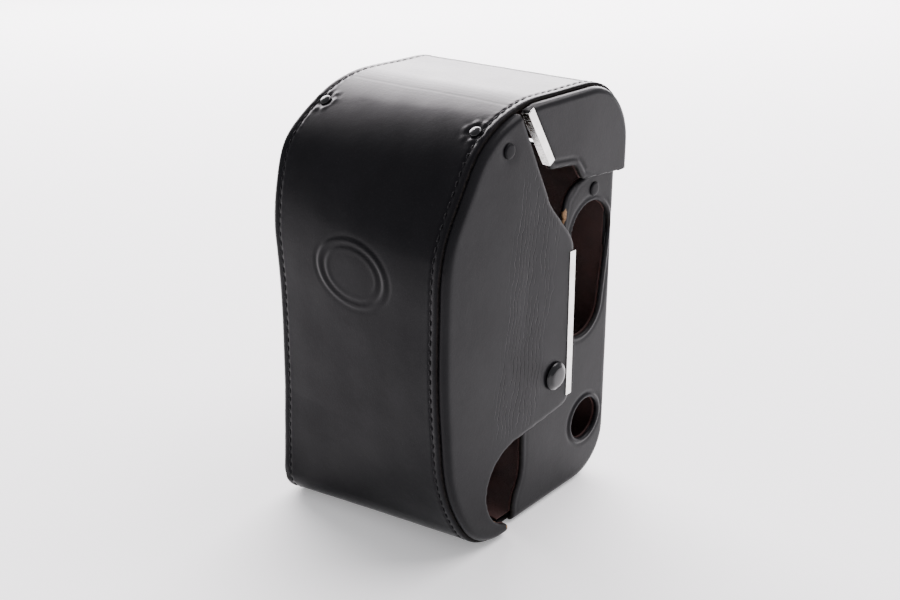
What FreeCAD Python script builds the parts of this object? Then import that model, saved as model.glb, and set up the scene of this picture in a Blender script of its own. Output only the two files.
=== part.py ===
"""Moulded leather ever-ready case for a twin-lens camera.

Row frame: millimetres, +Z up, +X to the case's own left hand side, -Y out of the front.
The origin is at the middle of the footprint, on the surface that the case stands on.

A case is a half case, which holds the camera, and a cover in two parts: a front that drops
forward on the fold under its toe, and a top that folds back on the crease at its shoulder.
Each of the three is two pressed side pans with a band of leather sewn over their flanges.
"""

import FreeCAD, Part
import math
import os
import Sketcher
from FreeCAD import Placement, Rotation, Vector

doc = FreeCAD.newDocument("camera_case")

# ---------------------------------------------------------------------------------------
# Driving dimensions
# ---------------------------------------------------------------------------------------

DRIVING = [
    # leather
    ("leather", 2.0, "hide of the bands and the side pans"),
    ("flange_leather", 1.8, "hide of a pan's turned-in flange"),
    ("lining", 0.5, "plush lining"),
    ("glue_gap", 0.1, "gap between layers that are glued or sewn together"),
    # cover
    ("case_height", 184.0, "overall height"),
    ("front_face", 56.5, "front of the cover, ahead of the origin"),
    ("rear_face", 59.5, "back of the top cover, behind the origin"),
    ("band_half", 46.4, "half the width of the cover's band"),
    ("pan_half", 49.8, "outer face of the cover's side pans, from the middle"),
    ("pan_inset", 1.3, "step from the band's face down to the pan's rim"),
    ("pan_edge_radius", 2.8, "rounded edge of a side pan"),
    ("flange_reach", 13.0, "width of the flange under the band"),
    ("shoulder_radius", 55.1, "front top corner, upper arc"),
    ("shoulder_centre", 0.8, "centre of that arc, behind the origin"),
    ("brow_radius", 73.5, "front top corner, lower arc"),
    ("shin_radius", 76.5, "front bottom corner, upper arc"),
    ("shin_height", 52.3, "height of that arc's centre"),
    ("toe_radius", 28.0, "front bottom corner, lower arc"),
    ("square_toe_radius", 12.0, "front bottom corner on the case's own right"),
    ("square_toe_ahead", 3.0, "how far that corner stands ahead of the front"),
    ("square_toe_slack", 0.4, "how far the front above it does"),
    ("crown_radius", 28.0, "back top corner"),
    ("crease_ahead", 11.8, "crease between front and top, ahead of the origin"),
    ("fold_ahead", 18.5, "fold under the toe, ahead of the origin"),
    ("top_back_edge", 148.4, "lower edge of the top cover's band at the back"),
    ("joint_gap", 0.3, "gap between two leathers at a fold"),
    # half case
    ("half_height", 147.6, "top edge of the half case"),
    ("half_rear", 56.8, "back of the half case, behind the origin"),
    ("half_pan", 45.6, "outer face of the half case's side pans"),
    ("half_band", 41.8, "half the width of the half case's band"),
    ("half_corner", 22.0, "back bottom corner"),
    ("half_edge_radius", 3.0, "rounded edge of a half case's side pan"),
    ("half_inset", 0.5, "step from the half case's band down to its pan"),
    ("board", 2.0, "stiffening board in the base"),
    # windows of the half case
    ("knob_hole_radius", 9.8, "round hole for the spool knob"),
    ("knob_hole_back", 39.9, "its centre, behind the origin"),
    ("knob_hole_height", 30.4, "its centre's height"),
    ("window_length", 60.0, "long oval window"),
    ("window_width", 27.0, "its width"),
    ("window_back", 37.0, "its centre, behind the origin"),
    ("window_height", 103.4, "its centre's height"),
    ("window_tilt", 8.0, "lean of its top towards the back, degrees"),
    # seams
    ("seam_inset", 3.2, "seam from the band's edge"),
    ("seam_groove", 1.0, "width of the groove that the thread lies in"),
    ("seam_depth", 0.5, "its depth"),
    ("thread_width", 0.8, "thread"),
    ("thread_depth", 0.35, "its height"),
    # snap fasteners
    ("snap_back", 11.0, "snap, behind the origin"),
    ("snap_height", 64.4, "its height above the base"),
    ("cap_radius", 6.25, "snap cap"),
    ("cap_rim", 1.2, "height of its rim"),
    ("cap_crown", 2.5, "height of its crown"),
    ("cap_crown_radius", 4.4, "flat of its crown"),
    ("cap_post_radius", 1.6, "tube that is clenched through the leather"),
    ("cap_post_length", 1.0, "its length under the cap"),
    ("socket_radius", 5.3, "snap socket"),
    ("socket_length", 2.0, "its height"),
    ("socket_bore", 2.6, "its mouth"),
    ("socket_depth", 1.2, "depth of its mouth"),
    ("stud_flange_radius", 4.6, "stud's flange"),
    ("stud_flange", 0.4, "its thickness"),
    ("stud_neck_radius", 1.7, "stud's neck"),
    ("stud_head_radius", 2.1, "stud's head"),
    ("stud_height", 1.2, "stud's full height"),
    ("stud_neck_height", 0.8, "height of its neck"),
    ("post_radius", 4.0, "clenched post behind the stud"),
    ("post_thickness", 0.6, "its flange"),
    ("post_shank", 1.2, "its shank"),
    # rivets
    ("band_rivet_head_radius", 2.4, "band rivet's head"),
    ("band_rivet_head_flat", 0.8, "flat of that head"),
    ("side_rivet_head_radius", 3.0, "side rivet's head"),
    ("side_rivet_head_flat", 1.6, "flat of that head"),
    ("rivet_head", 1.4, "a head's height"),
    ("rivet_rim", 0.5, "height of its rim"),
    ("rivet_shank_radius", 1.4, "its shank"),
    ("burr_radius", 2.8, "burr on its inner end"),
    ("burr", 0.7, "the burr's thickness"),
    ("shank_clearance", 0.1, "hole round a shank"),
    # corner bracket
    ("bracket_sheet", 1.0, "steel of the corner bracket"),
    ("bracket_width", 11.0, "its width along the edge"),
    ("bracket_leg", 12.5, "its leg under the band"),
    # edge trims
    ("trim_sheet", 0.4, "nickelled brass of the edge trims"),
    ("trim_leg", 3.2, "how far a trim reaches over the edge"),
    ("front_trim_length", 65.8, "trim of the front cover's back edge"),
    ("top_trim_length", 26.5, "trim of the top cover's front edge"),
    # retaining screw
    ("screw_back", 8.0, "screw, behind the origin"),
    ("cup_radius", 12.0, "pressed cup that the screw's head sits in"),
    ("cup_sheet", 0.8, "its metal"),
    ("cup_height", 6.6, "its depth"),
    ("cup_flange_radius", 17.5, "its flange"),
    ("cup_hole_radius", 3.6, "hole in its crown"),
    ("screw_head_radius", 9.6, "screw's head"),
    ("screw_head_low", 0.7, "underside of the head above the base"),
    ("screw_head_height", 6.0, "its height"),
    ("thread_radius", 3.175, "quarter-inch screw thread, outside radius"),
    ("socket_thread_depth", 5.2, "threaded socket in the head"),
    ("screw_neck_radius", 2.6, "neck below the thread"),
    ("screw_top", 16.0, "tip of the screw above the base"),
    ("screw_neck_top", 10.4, "top of its neck"),
    ("ring_radius", 5.2, "retaining ring"),
    ("ring_thickness", 0.7, "its thickness"),
    ("cup_rivet_circle", 14.7, "circle of the cup's rivets"),
]

sheet = doc.addObject("Spreadsheet::Sheet", "Dimensions")
for row, (alias, value, meaning) in enumerate(DRIVING, start=1):
    sheet.set(f"A{row}", alias)
    sheet.set(f"B{row}", str(value))
    sheet.set(f"C{row}", meaning)
    sheet.setAlias(f"B{row}", alias)
doc.recompute()


def dim(alias):
    return float(getattr(sheet, alias))


def bind(thing, prop, formula):
    """Binds a property to a formula on the sheet's aliases, written between braces."""
    thing.setExpression(prop, formula.replace("{", "Dimensions.").replace("}", ""))


nodes = {}


def node(label, thing):
    thing.Label = label
    nodes[label] = thing
    return thing


def formed(label, shape):
    """A moulded piece whose shape comes from the outlines below."""
    thing = doc.addObject("Part::Feature", label)
    thing.Shape = shape
    return node(label, thing)


# ---------------------------------------------------------------------------------------
# Outlines, drawn in the side view: a point is (Y, Z)
# ---------------------------------------------------------------------------------------

HEIGHT = dim("case_height")
FRONT = -dim("front_face")
REAR = dim("rear_face")
SHOULDER = (dim("shoulder_centre"), HEIGHT - dim("shoulder_radius"))
CROWN = (REAR - dim("crown_radius"), HEIGHT - dim("crown_radius"))
FAR = 300.0


def tangent_height(radius_difference, offset):
    return math.sqrt(radius_difference**2 - offset**2)


brow_y = FRONT + dim("brow_radius")
BROW = (
    brow_y,
    SHOULDER[1] - tangent_height(dim("brow_radius") - dim("shoulder_radius"), brow_y - SHOULDER[0]),
)
SHIN = (FRONT + dim("shin_radius"), dim("shin_height"))
TOE = (
    SHIN[0] - tangent_height(dim("shin_radius") - dim("toe_radius"), SHIN[1] - dim("toe_radius")),
    dim("toe_radius"),
)


def point(yz):
    return Vector(0, yz[0], yz[1])


def along(start, end):
    """The unit vector from one side view point towards another."""
    length = math.hypot(end[0] - start[0], end[1] - start[1])
    return ((end[0] - start[0]) / length, (end[1] - start[1]) / length)


def on_circle(centre, radius, direction):
    return (centre[0] + radius * direction[0], centre[1] + radius * direction[1])


def path(start, *steps):
    """A closed wire. A step is one point for a line, or two for an arc through the first."""
    edges = []
    here = start
    for step in steps:
        if len(step) == 2 and isinstance(step[0], tuple):
            edges.append(Part.Arc(point(here), point(step[0]), point(step[1])).toShape())
            here = step[1]
        else:
            edges.append(Part.makeLine(point(here), point(step)))
            here = step
    if math.hypot(here[0] - start[0], here[1] - start[1]) > 1e-6:
        edges.append(Part.makeLine(point(here), point(start)))
    return Part.Wire(edges)


def bend(centre, radius, from_direction, to_direction):
    """The arc step of a path round a centre, between two directions."""
    middle = (from_direction[0] + to_direction[0], from_direction[1] + to_direction[1])
    middle = along((0, 0), middle)
    return (on_circle(centre, radius, middle), on_circle(centre, radius, to_direction))


UP, DOWN, AHEAD, BEHIND = (0, 1), (0, -1), (-1, 0), (1, 0)


LEFT, RIGHT = 1, -1
SQUARE_TOE = (FRONT - dim("square_toe_ahead") + dim("square_toe_radius"), dim("square_toe_radius"))


def left_toe(inset):
    """The swept front bottom corner of the case's own left."""
    to_toe = along(SHIN, TOE)
    return (
        (TOE[0], inset),
        bend(TOE, dim("toe_radius") - inset, DOWN, to_toe),
        bend(SHIN, dim("shin_radius") - inset, to_toe, AHEAD),
    )


def right_toe(inset):
    """The square front bottom corner of its right, and the slack front above it."""
    return (
        (SQUARE_TOE[0], inset),
        bend(SQUARE_TOE, dim("square_toe_radius") - inset, DOWN, AHEAD),
        (FRONT - dim("square_toe_slack") + inset, SHIN[1]),
    )


def cover_outline(inset, side=LEFT):
    """The closed cover's side outline, moved inwards by inset."""
    to_shoulder = along(BROW, SHOULDER)
    toe = left_toe(inset) if side == LEFT else right_toe(inset)
    return path(
        *toe,
        (FRONT + inset, BROW[1]),
        bend(BROW, dim("brow_radius") - inset, AHEAD, to_shoulder),
        bend(SHOULDER, dim("shoulder_radius") - inset, to_shoulder, UP),
        (CROWN[0], HEIGHT - inset),
        bend(CROWN, dim("crown_radius") - inset, UP, BEHIND),
        (REAR - inset, inset),
    )


def half_outline(inset):
    """The half case's side outline, open at the front and top, moved inwards by inset."""
    radius = dim("half_corner")
    corner = (dim("half_rear") - radius, radius)
    return path(
        (-FAR, inset),
        (corner[0], inset),
        bend(corner, radius - inset, DOWN, BEHIND),
        (dim("half_rear") - inset, FAR),
        (-FAR, FAR),
    )


def cover_core(inset):
    """Everything inside the band's surface, moved inwards by inset, from edge to edge."""
    edge = dim("band_half") + dim("glue_gap")
    wires = []
    for side in (RIGHT, LEFT):
        wire = cover_outline(inset, side)
        wire.translate(Vector(side * edge, 0, 0))
        wires.append(wire)
    return Part.makeLoft(wires, True, True)


def half_core(inset):
    edge = dim("half_band") + dim("glue_gap")
    return slab(half_outline(inset), -edge, edge)


def layer(core, outer, inner, low, high):
    """A skin between two insets of a core, and between two widths."""
    whole = Part.makeBox(high - low, 3 * FAR, 3 * FAR, Vector(low, -1.5 * FAR, -1.5 * FAR))
    return core(outer).cut(core(inner)).common(whole)


def slab(wire, low, high):
    """A side view outline made solid between two widths."""
    face = Part.Face(wire)
    face.translate(Vector(low, 0, 0))
    return face.extrude(Vector(high - low, 0, 0))


def ring(outline, outer, inner, low, high):
    """A skin that follows an outline, between two insets and two widths."""
    return slab(outline(outer), low, high).cut(slab(outline(inner), low - 1, high + 1))


def mirrored(shape):
    return shape.mirror(Vector(0, 0, 0), Vector(1, 0, 0))


def both_sides(shape):
    return Part.makeCompound([shape, mirrored(shape)])


def one_solid(shape):
    solids = shape.Solids
    assert len(solids) == 1, f"{len(solids)} solids where one was meant"
    return solids[0]


# Where each leather ends. These follow the free edges that hands and straps wear.

FRONT_REGION = path(
    (-FAR, -10.0),
    (-dim("fold_ahead"), -10.0),
    (-dim("fold_ahead"), 3.6),
    ((-19.4, 5.6), (-21.6, 6.8)),
    ((-32.8, 27.0), (-16.6, 44.0)),
    (15.0, 47.4),
    ((20.1, 49.2), (22.1, 53.8)),
    (22.1, 117.0),
    ((21.4, 121.6), (18.8, 126.0)),
    (7.2, 139.2),
    ((5.2, 142.2), (3.7, 145.6)),
    (-14.2, 183.0),
    (-16.1, FAR),
    (-FAR, FAR),
)
# The top cover's straight front edge, which its trim lies on.
TOP_EDGE_LOW, TOP_EDGE_HIGH = (4.2, 157.0), (-11.0, 182.4)
TOP_REGION = path(
    (-12.4, FAR),
    TOP_EDGE_HIGH,
    TOP_EDGE_LOW,
    ((5.0, 155.7), (6.4, 155.2)),
    (19.2, 153.9),
    ((21.6, 153.1), (23.2, 151.3)),
    (25.6, 148.0),
    ((26.8, 146.8), (28.6, 146.4)),
    (FAR, 124.6),
    (FAR, FAR),
)
HALF_REGION = path(
    (-10.8, -10.0),
    (-10.8, 8.0),
    ((-10.0, 12.0), (-8.2, 16.0)),
    ((-5.8, 21.6), (-5.0, 28.0)),
    (-5.0, 42.0),
    (19.6, 125.6),
    (20.4, 130.0),
    ((22.6, 139.8), (29.6, 143.9)),
    (42.0, dim("half_height")),
    (FAR, dim("half_height")),
    (FAR, -10.0),
)

crease_direction = along(
    SHOULDER,
    (
        -dim("crease_ahead"),
        SHOULDER[1]
        + tangent_height(dim("shoulder_radius"), dim("crease_ahead") + dim("shoulder_centre")),
    ),
)
crease_far = on_circle(SHOULDER, FAR, crease_direction)
FRONT_BAND_REGION = path(
    (-FAR, -10.0),
    (-dim("fold_ahead") - dim("joint_gap"), -10.0),
    (-dim("fold_ahead") - dim("joint_gap"), 100.0),
    SHOULDER,
    crease_far,
    (-FAR, FAR),
)
gap = dim("joint_gap")
TOP_BAND_REGION = path(
    (SHOULDER[0] + gap, SHOULDER[1]),
    (crease_far[0] + gap, crease_far[1]),
    (FAR, FAR),
    (FAR, dim("top_back_edge")),
    (SHOULDER[0] + gap, dim("top_back_edge")),
)
half_band_front = -dim("fold_ahead") + dim("joint_gap")
HALF_BAND_REGION = path(
    (half_band_front, -10.0),
    (half_band_front, dim("half_height")),
    (FAR, dim("half_height")),
    (FAR, -10.0),
)

FRONT_KEEP = slab(FRONT_REGION, -FAR, FAR)
TOP_KEEP = slab(TOP_REGION, -FAR, FAR)
HALF_KEEP = slab(HALF_REGION, -FAR, FAR)
FRONT_BAND_KEEP = slab(FRONT_BAND_REGION, -FAR, FAR)
TOP_BAND_KEEP = slab(TOP_BAND_REGION, -FAR, FAR)
HALF_BAND_KEEP = slab(HALF_BAND_REGION, -FAR, FAR)

# ---------------------------------------------------------------------------------------
# Fastener axes
# ---------------------------------------------------------------------------------------

SNAP = (dim("snap_back"), dim("snap_height"))
SIDE_RIVET = (-20.4, 168.2)
BAND_RIVET_X = 40.3
BAND_RIVET_Y = -28.5
LUG_RIVET = (40.4, 138.6)
band_rivet_direction = along(
    SHOULDER,
    (
        BAND_RIVET_Y,
        SHOULDER[1] + tangent_height(dim("shoulder_radius"), BAND_RIVET_Y - SHOULDER[0]),
    ),
)
BAND_RIVET_TILT = math.degrees(math.asin(-band_rivet_direction[0]))


def side_rod(yz, radius, low, high):
    """A cylinder across the case at a side view point."""
    return Part.makeCylinder(radius, high - low, Vector(low, yz[0], yz[1]), Vector(1, 0, 0))


def band_rod(radius, low, high):
    """A cylinder on the band rivet's axis, between two distances from the shoulder's centre."""
    start = on_circle(SHOULDER, low, band_rivet_direction)
    return Part.makeCylinder(
        radius,
        high - low,
        Vector(BAND_RIVET_X, *start),
        Vector(0, *band_rivet_direction),
    )


SHANK_HOLE = dim("rivet_shank_radius") + dim("shank_clearance")

# ---------------------------------------------------------------------------------------
# Leather: bands
# ---------------------------------------------------------------------------------------


def grooved(band, core, half_width):
    """A band with the two shallow grooves that its seams lie in."""
    seam = half_width - dim("seam_inset")
    groove = layer(
        core,
        -0.5,
        dim("seam_depth"),
        seam - dim("seam_groove") / 2,
        seam + dim("seam_groove") / 2,
    )
    other = layer(
        core,
        -0.5,
        dim("seam_depth"),
        -seam - dim("seam_groove") / 2,
        -seam + dim("seam_groove") / 2,
    )
    return band.cut(groove).cut(other)


def seam_thread(core, half_width, keep):
    """The thread of both seams, lying in the grooves."""
    seam = half_width - dim("seam_inset")
    lift = (dim("seam_depth") - dim("thread_depth")) / 2
    threads = []
    for middle in (seam, -seam):
        thread = layer(
            core,
            lift,
            lift + dim("thread_depth"),
            middle - dim("thread_width") / 2,
            middle + dim("thread_width") / 2,
        )
        threads.append(one_solid(thread.common(keep)))
    return Part.makeCompound(threads)


def band(core, half_width, keep):
    skin = layer(core, 0, dim("leather"), -half_width, half_width)
    return grooved(skin.common(keep), core, half_width)


rivet_holes = both_sides(band_rod(SHANK_HOLE, 30, 80))
front_band = band(cover_core, dim("band_half"), FRONT_BAND_KEEP).cut(rivet_holes)
formed("front_cover_band", one_solid(front_band))
formed("top_cover_band", one_solid(band(cover_core, dim("band_half"), TOP_BAND_KEEP)))

screw_axis = Vector(0, dim("screw_back"), 0)


def upright(radius, low, high, place=Vector(0, 0, 0)):
    return Part.makeCylinder(radius, high - low, screw_axis + place + Vector(0, 0, low))


CUP_RIVETS = [
    Vector(
        dim("cup_rivet_circle") * math.cos(math.radians(angle)),
        dim("cup_rivet_circle") * math.sin(math.radians(angle)),
        0,
    )
    for angle in (90, 210, 330)
]
CUP_RIVET_HEAD = 2.2
CUP_RIVET_SINK = 0.9
half_band = band(half_core, dim("half_band"), HALF_BAND_KEEP)
half_band = half_band.cut(upright(dim("cup_radius") - dim("cup_sheet"), -1, 10))
for place in CUP_RIVETS:
    half_band = half_band.cut(upright(CUP_RIVET_HEAD + 0.1, -1, CUP_RIVET_SINK, place))
    half_band = half_band.cut(upright(1.3, -1, 10, place))
formed("half_case_band", one_solid(half_band))

# ---------------------------------------------------------------------------------------
# Leather: side pans
# ---------------------------------------------------------------------------------------


def pan(outline, core, band_edge, outer_face, inset, edge_radius, reach):
    """A pressed side: a face with a rounded rim, and a flange turned in under the band."""
    leather = dim("leather")
    block = slab(outline(inset), band_edge, outer_face)
    rim = [
        edge
        for edge in block.Edges
        if all(abs(v.X - outer_face) < 1e-6 for v in edge.Vertexes)
        and edge.BoundBox.YMin > -FAR + 1
        and edge.BoundBox.ZMax < FAR - 1
    ]
    block = block.makeFillet(edge_radius, rim)
    hollow = slab(outline(inset + leather), band_edge - 1, outer_face - leather)
    flange = layer(
        core,
        leather + dim("glue_gap"),
        leather + dim("glue_gap") + dim("flange_leather"),
        band_edge - reach,
        band_edge,
    )
    return block.cut(hollow).fuse(flange).removeSplitter()


COVER_BAND_EDGE = dim("band_half") + dim("glue_gap")
COVER_INNER_FACE = dim("pan_half") - dim("leather")


def cover_pan(side):
    """One side pan of the closed cover, drawn on the left whichever side it is for."""

    def outline(inset):
        return cover_outline(inset, side)

    def core(inset):
        whole = cover_core(inset)
        return whole if side == LEFT else mirrored(whole)

    return pan(
        outline,
        core,
        COVER_BAND_EDGE,
        dim("pan_half"),
        dim("pan_inset"),
        dim("pan_edge_radius"),
        dim("flange_reach"),
    )


socket_seat = side_rod(SNAP, dim("socket_radius") + 0.15, 40, COVER_INNER_FACE + 1.0)
post_hole = side_rod(SNAP, dim("cap_post_radius") + 0.1, 40, 60)
# The flange stops short of the crease, so that the two covers don't meet inside.
crease_near = on_circle(SHOULDER, 30, crease_direction)
crease_cut = slab(
    path(
        crease_near,
        (crease_near[0] - 1.0, crease_near[1]),
        (crease_far[0] - 1.0, crease_far[1]),
        (crease_far[0] + 20.0, crease_far[1]),
        (60.0, 160.0),
    ),
    0,
    COVER_BAND_EDGE,
)
top_flange_limit = slab(TOP_BAND_REGION, 0, COVER_BAND_EDGE)
outside_flange = slab(cover_outline(-5), COVER_BAND_EDGE, 60)
# The flange's end is pared away where the top trim's inner leg passes it.
TOP_RUN = along(TOP_EDGE_LOW, TOP_EDGE_HIGH)
TOP_ACROSS = (TOP_RUN[1], -TOP_RUN[0])
pared_low = on_circle(TOP_EDGE_LOW, 20.0, TOP_RUN)
pared_high = on_circle(TOP_EDGE_LOW, 28.0, TOP_RUN)
pared_depth = dim("trim_leg") + 0.4
pared = slab(
    path(
        on_circle(pared_low, -1.0, TOP_ACROSS),
        on_circle(pared_high, -1.0, TOP_ACROSS),
        on_circle(pared_high, pared_depth, TOP_ACROSS),
        on_circle(pared_low, pared_depth, TOP_ACROSS),
    ),
    0,
    COVER_INNER_FACE - 0.55,
)
for side, name in ((LEFT, "left"), (RIGHT, "right")):
    whole_pan = cover_pan(side)
    front_pan = whole_pan.common(FRONT_KEEP).cut(socket_seat).cut(post_hole).cut(crease_cut)
    front_pan = front_pan.cut(side_rod(SIDE_RIVET, SHANK_HOLE, 40, 60))
    front_pan = max(front_pan.cut(band_rod(SHANK_HOLE, 30, 80)).Solids, key=lambda part: part.Volume)
    top_pan = whole_pan.common(TOP_KEEP).common(top_flange_limit.fuse(outside_flange)).cut(pared)
    top_pan = max(top_pan.Solids, key=lambda part: part.Volume)
    for label, leather in (("front_cover_side_", front_pan), ("top_cover_side_", top_pan)):
        formed(label + name, leather if side == LEFT else mirrored(leather))

half_pan = pan(
    half_outline,
    half_core,
    dim("half_band") + dim("glue_gap"),
    dim("half_pan"),
    dim("half_inset"),
    dim("half_edge_radius"),
    8.0,
).common(HALF_KEEP)


def oval(length, width):
    """A slot with round ends in the side view, standing upright round the origin."""
    end = (length - width) / 2
    side = width / 2
    return path(
        (side, -end),
        (side, end),
        ((0, end + side), (-side, end)),
        (-side, -end),
        ((0, -end - side), (side, -end)),
    )


def window(length, width):
    """The long window, leaning back, cut right through one side."""
    shape = slab(oval(length, width), 30, 60)
    shape.rotate(Vector(0, 0, 0), Vector(1, 0, 0), -dim("window_tilt"))
    shape.translate(Vector(0, dim("window_back"), dim("window_height")))
    return shape


KNOB_HOLE = (dim("knob_hole_back"), dim("knob_hole_height"))
PRESSED_RING = 0.7
knob_rim = Part.makeTorus(
    dim("knob_hole_radius") + 1.2,
    PRESSED_RING,
    Vector(dim("half_pan"), *KNOB_HOLE),
    Vector(1, 0, 0),
)
half_pan = half_pan.fuse(knob_rim)
half_pan = half_pan.cut(window(dim("window_length"), dim("window_width")))
half_pan = half_pan.cut(side_rod(KNOB_HOLE, dim("knob_hole_radius"), 30, 60))
half_pan = half_pan.cut(side_rod(LUG_RIVET, SHANK_HOLE, 30, 60))
half_pan = half_pan.cut(side_rod(SNAP, dim("post_shank") + 0.1, 30, 60))
stud_seat = dim("half_pan") - dim("stud_flange")
half_pan = half_pan.cut(side_rod(SNAP, dim("stud_flange_radius") + 0.1, stud_seat, 60))
half_pan = one_solid(half_pan)
formed("half_case_side_left", half_pan)
formed("half_case_side_right", mirrored(half_pan))

# ---------------------------------------------------------------------------------------
# Linings
# ---------------------------------------------------------------------------------------

lining_outer = dim("leather") + dim("glue_gap")
lining_half = COVER_BAND_EDGE - dim("flange_reach") - 0.2
cover_band_lining = layer(
    cover_core, lining_outer, lining_outer + dim("lining"), -lining_half, lining_half
)
formed("front_cover_band_lining", one_solid(cover_band_lining.common(FRONT_BAND_KEEP)))
formed("top_cover_band_lining", one_solid(cover_band_lining.common(TOP_BAND_KEEP)))

lining_face = COVER_INNER_FACE - dim("glue_gap")
for side, name in ((LEFT, "left"), (RIGHT, "right")):
    inner_outline = cover_outline(dim("pan_inset") + dim("leather") + 1.2, side)
    whole_lining = slab(inner_outline, lining_face - dim("lining"), lining_face)
    front_lining = whole_lining.common(FRONT_KEEP).cut(socket_seat)
    front_lining = one_solid(front_lining.cut(side_rod(SIDE_RIVET, SHANK_HOLE, 40, 60)))
    top_lining = one_solid(whole_lining.common(TOP_KEEP))
    for label, plush in (
        ("front_cover_side_lining_", front_lining),
        ("top_cover_side_lining_", top_lining),
    ):
        formed(label + name, plush if side == LEFT else mirrored(plush))

half_lining_face = dim("half_pan") - dim("leather") - dim("glue_gap")
half_side_lining = slab(half_outline(5.2), half_lining_face - dim("lining"), half_lining_face)
half_side_lining = half_side_lining.common(HALF_KEEP)
half_side_lining = half_side_lining.cut(window(dim("window_length"), dim("window_width")))
half_side_lining = half_side_lining.cut(side_rod(KNOB_HOLE, dim("knob_hole_radius"), 30, 60))
half_side_lining = half_side_lining.cut(side_rod(LUG_RIVET, SHANK_HOLE, 30, 60))
half_side_lining = one_solid(half_side_lining.cut(side_rod(SNAP, dim("post_radius") + 0.2, 30, 60)))
formed("half_case_side_lining_left", half_side_lining)
formed("half_case_side_lining_right", mirrored(half_side_lining))

flange_inner = dim("leather") + dim("glue_gap") + dim("flange_leather")
board_half = dim("half_band") - 8.2
board_low = dim("leather") + dim("glue_gap")
board_back = dim("half_rear") - dim("half_corner")
lining_low = board_low + dim("board") + dim("glue_gap")


def half_lining_outline(inset):
    return half_outline(lining_low + inset)


half_band_lining = ring(half_lining_outline, 0, dim("lining"), -half_lining_face + 1, half_lining_face - 1)
half_band_lining = half_band_lining.common(HALF_BAND_KEEP)
formed(
    "half_case_band_lining", one_solid(half_band_lining.cut(upright(dim("cup_radius") + 0.2, -1, 20)))
)

# ---------------------------------------------------------------------------------------
# Base board, bound to the sheet
# ---------------------------------------------------------------------------------------

plank = doc.addObject("Part::Box", "board_blank")
bind(plank, "Length", "2 * ({half_band} - 8.2mm / 1mm)")
bind(plank, "Width", "{half_rear} - {half_corner} + {fold_ahead} - {joint_gap}")
bind(plank, "Height", "{board}")
bind(plank, "Placement.Base.x", "-({half_band} - 8.2mm / 1mm)")
bind(plank, "Placement.Base.y", "{joint_gap} - {fold_ahead}")
bind(plank, "Placement.Base.z", "{leather} + {glue_gap}")
board_hole = doc.addObject("Part::Cylinder", "board_hole")
bind(board_hole, "Radius", "{cup_flange_radius} + 0.3mm / 1mm")
bind(board_hole, "Height", "20")
bind(board_hole, "Placement.Base.y", "{screw_back}")
board = doc.addObject("Part::Cut", "base_board")
board.Base = plank
board.Tool = board_hole
node("base_board", board)

# ---------------------------------------------------------------------------------------
# Threads of the seams
# ---------------------------------------------------------------------------------------

formed("front_cover_seam_thread", seam_thread(cover_core, dim("band_half"), FRONT_BAND_KEEP))
formed("top_cover_seam_thread", seam_thread(cover_core, dim("band_half"), TOP_BAND_KEEP))
formed("half_case_seam_thread", seam_thread(half_core, dim("half_band"), HALF_BAND_KEEP))

# ---------------------------------------------------------------------------------------
# Turned hardware: bodies revolved from sketches whose corners are bound to the sheet
# ---------------------------------------------------------------------------------------


def role_plane(body, role):
    return next(f for f in body.Origin.OriginFeatures if f.Role == role)


def turned(name, corners):
    """A body revolved about its Z axis. A corner is (radius, height), each a formula."""
    body = doc.addObject("PartDesign::Body", name)
    sketch = body.newObject("Sketcher::SketchObject", name + "_profile")
    sketch.AttachmentSupport = [(role_plane(body, "XZ_Plane"), "")]
    sketch.MapMode = "FlatFace"
    values = []
    for radius, height in corners:
        row = []
        for formula in (radius, height):
            text = formula
            for alias, _, _ in sorted(DRIVING, key=lambda entry: -len(entry[0])):
                text = text.replace("{" + alias + "}", str(dim(alias)))
            row.append(float(value_of(text)))
        values.append(row)
    count = len(corners)
    for i in range(count):
        start, end = values[i], values[(i + 1) % count]
        sketch.addGeometry(Part.LineSegment(Vector(start[0], start[1], 0), Vector(end[0], end[1], 0)), False)
    for i in range(count):
        sketch.addConstraint(Sketcher.Constraint("Coincident", i, 2, (i + 1) % count, 1))
    for i, (radius, height) in enumerate(corners):
        for axis, formula, value, zero_axis in (
            ("DistanceX", radius, values[i][0], -2),
            ("DistanceY", height, values[i][1], -1),
        ):
            if abs(value) < 1e-9:
                sketch.addConstraint(Sketcher.Constraint("PointOnObject", i, 1, zero_axis))
                continue
            index = sketch.addConstraint(Sketcher.Constraint(axis, -1, 1, i, 1, value))
            bind(sketch, f"Constraints[{index}]", formula)
    spin = body.newObject("PartDesign::Revolution", name + "_turned")
    spin.Profile = sketch
    spin.ReferenceAxis = (sketch, ["V_Axis"])
    spin.Angle = 360.0
    body.Tip = spin
    doc.recompute()
    return body


def value_of(text):
    """The value of a formula that only adds, subtracts and multiplies plain numbers."""
    total = 0.0
    for term in text.replace("-", "+-").split("+"):
        if not term.strip():
            continue
        product = 1.0
        for factor in term.split("*"):
            factor = factor.strip()
            product *= -float(factor[1:].strip() or 1) if factor.startswith("-") else float(factor)
        total += product
    return total


def placed(body, place, rotation):
    body.Placement = Placement(place, rotation)
    return body


def mirror_pair(label, body):
    """One node that holds a piece and its mirror image on the other side."""
    other = doc.addObject("Part::Mirroring", label + "_mirror")
    other.Source = body
    other.Normal = Vector(1, 0, 0)
    pair = doc.addObject("Part::Compound", label)
    pair.Links = [body, other]
    return node(label, pair)


OUTWARDS = Rotation(Vector(0, 1, 0), 90)
INWARDS = Rotation(Vector(0, 1, 0), -90)
UPWARDS = Rotation()

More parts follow.
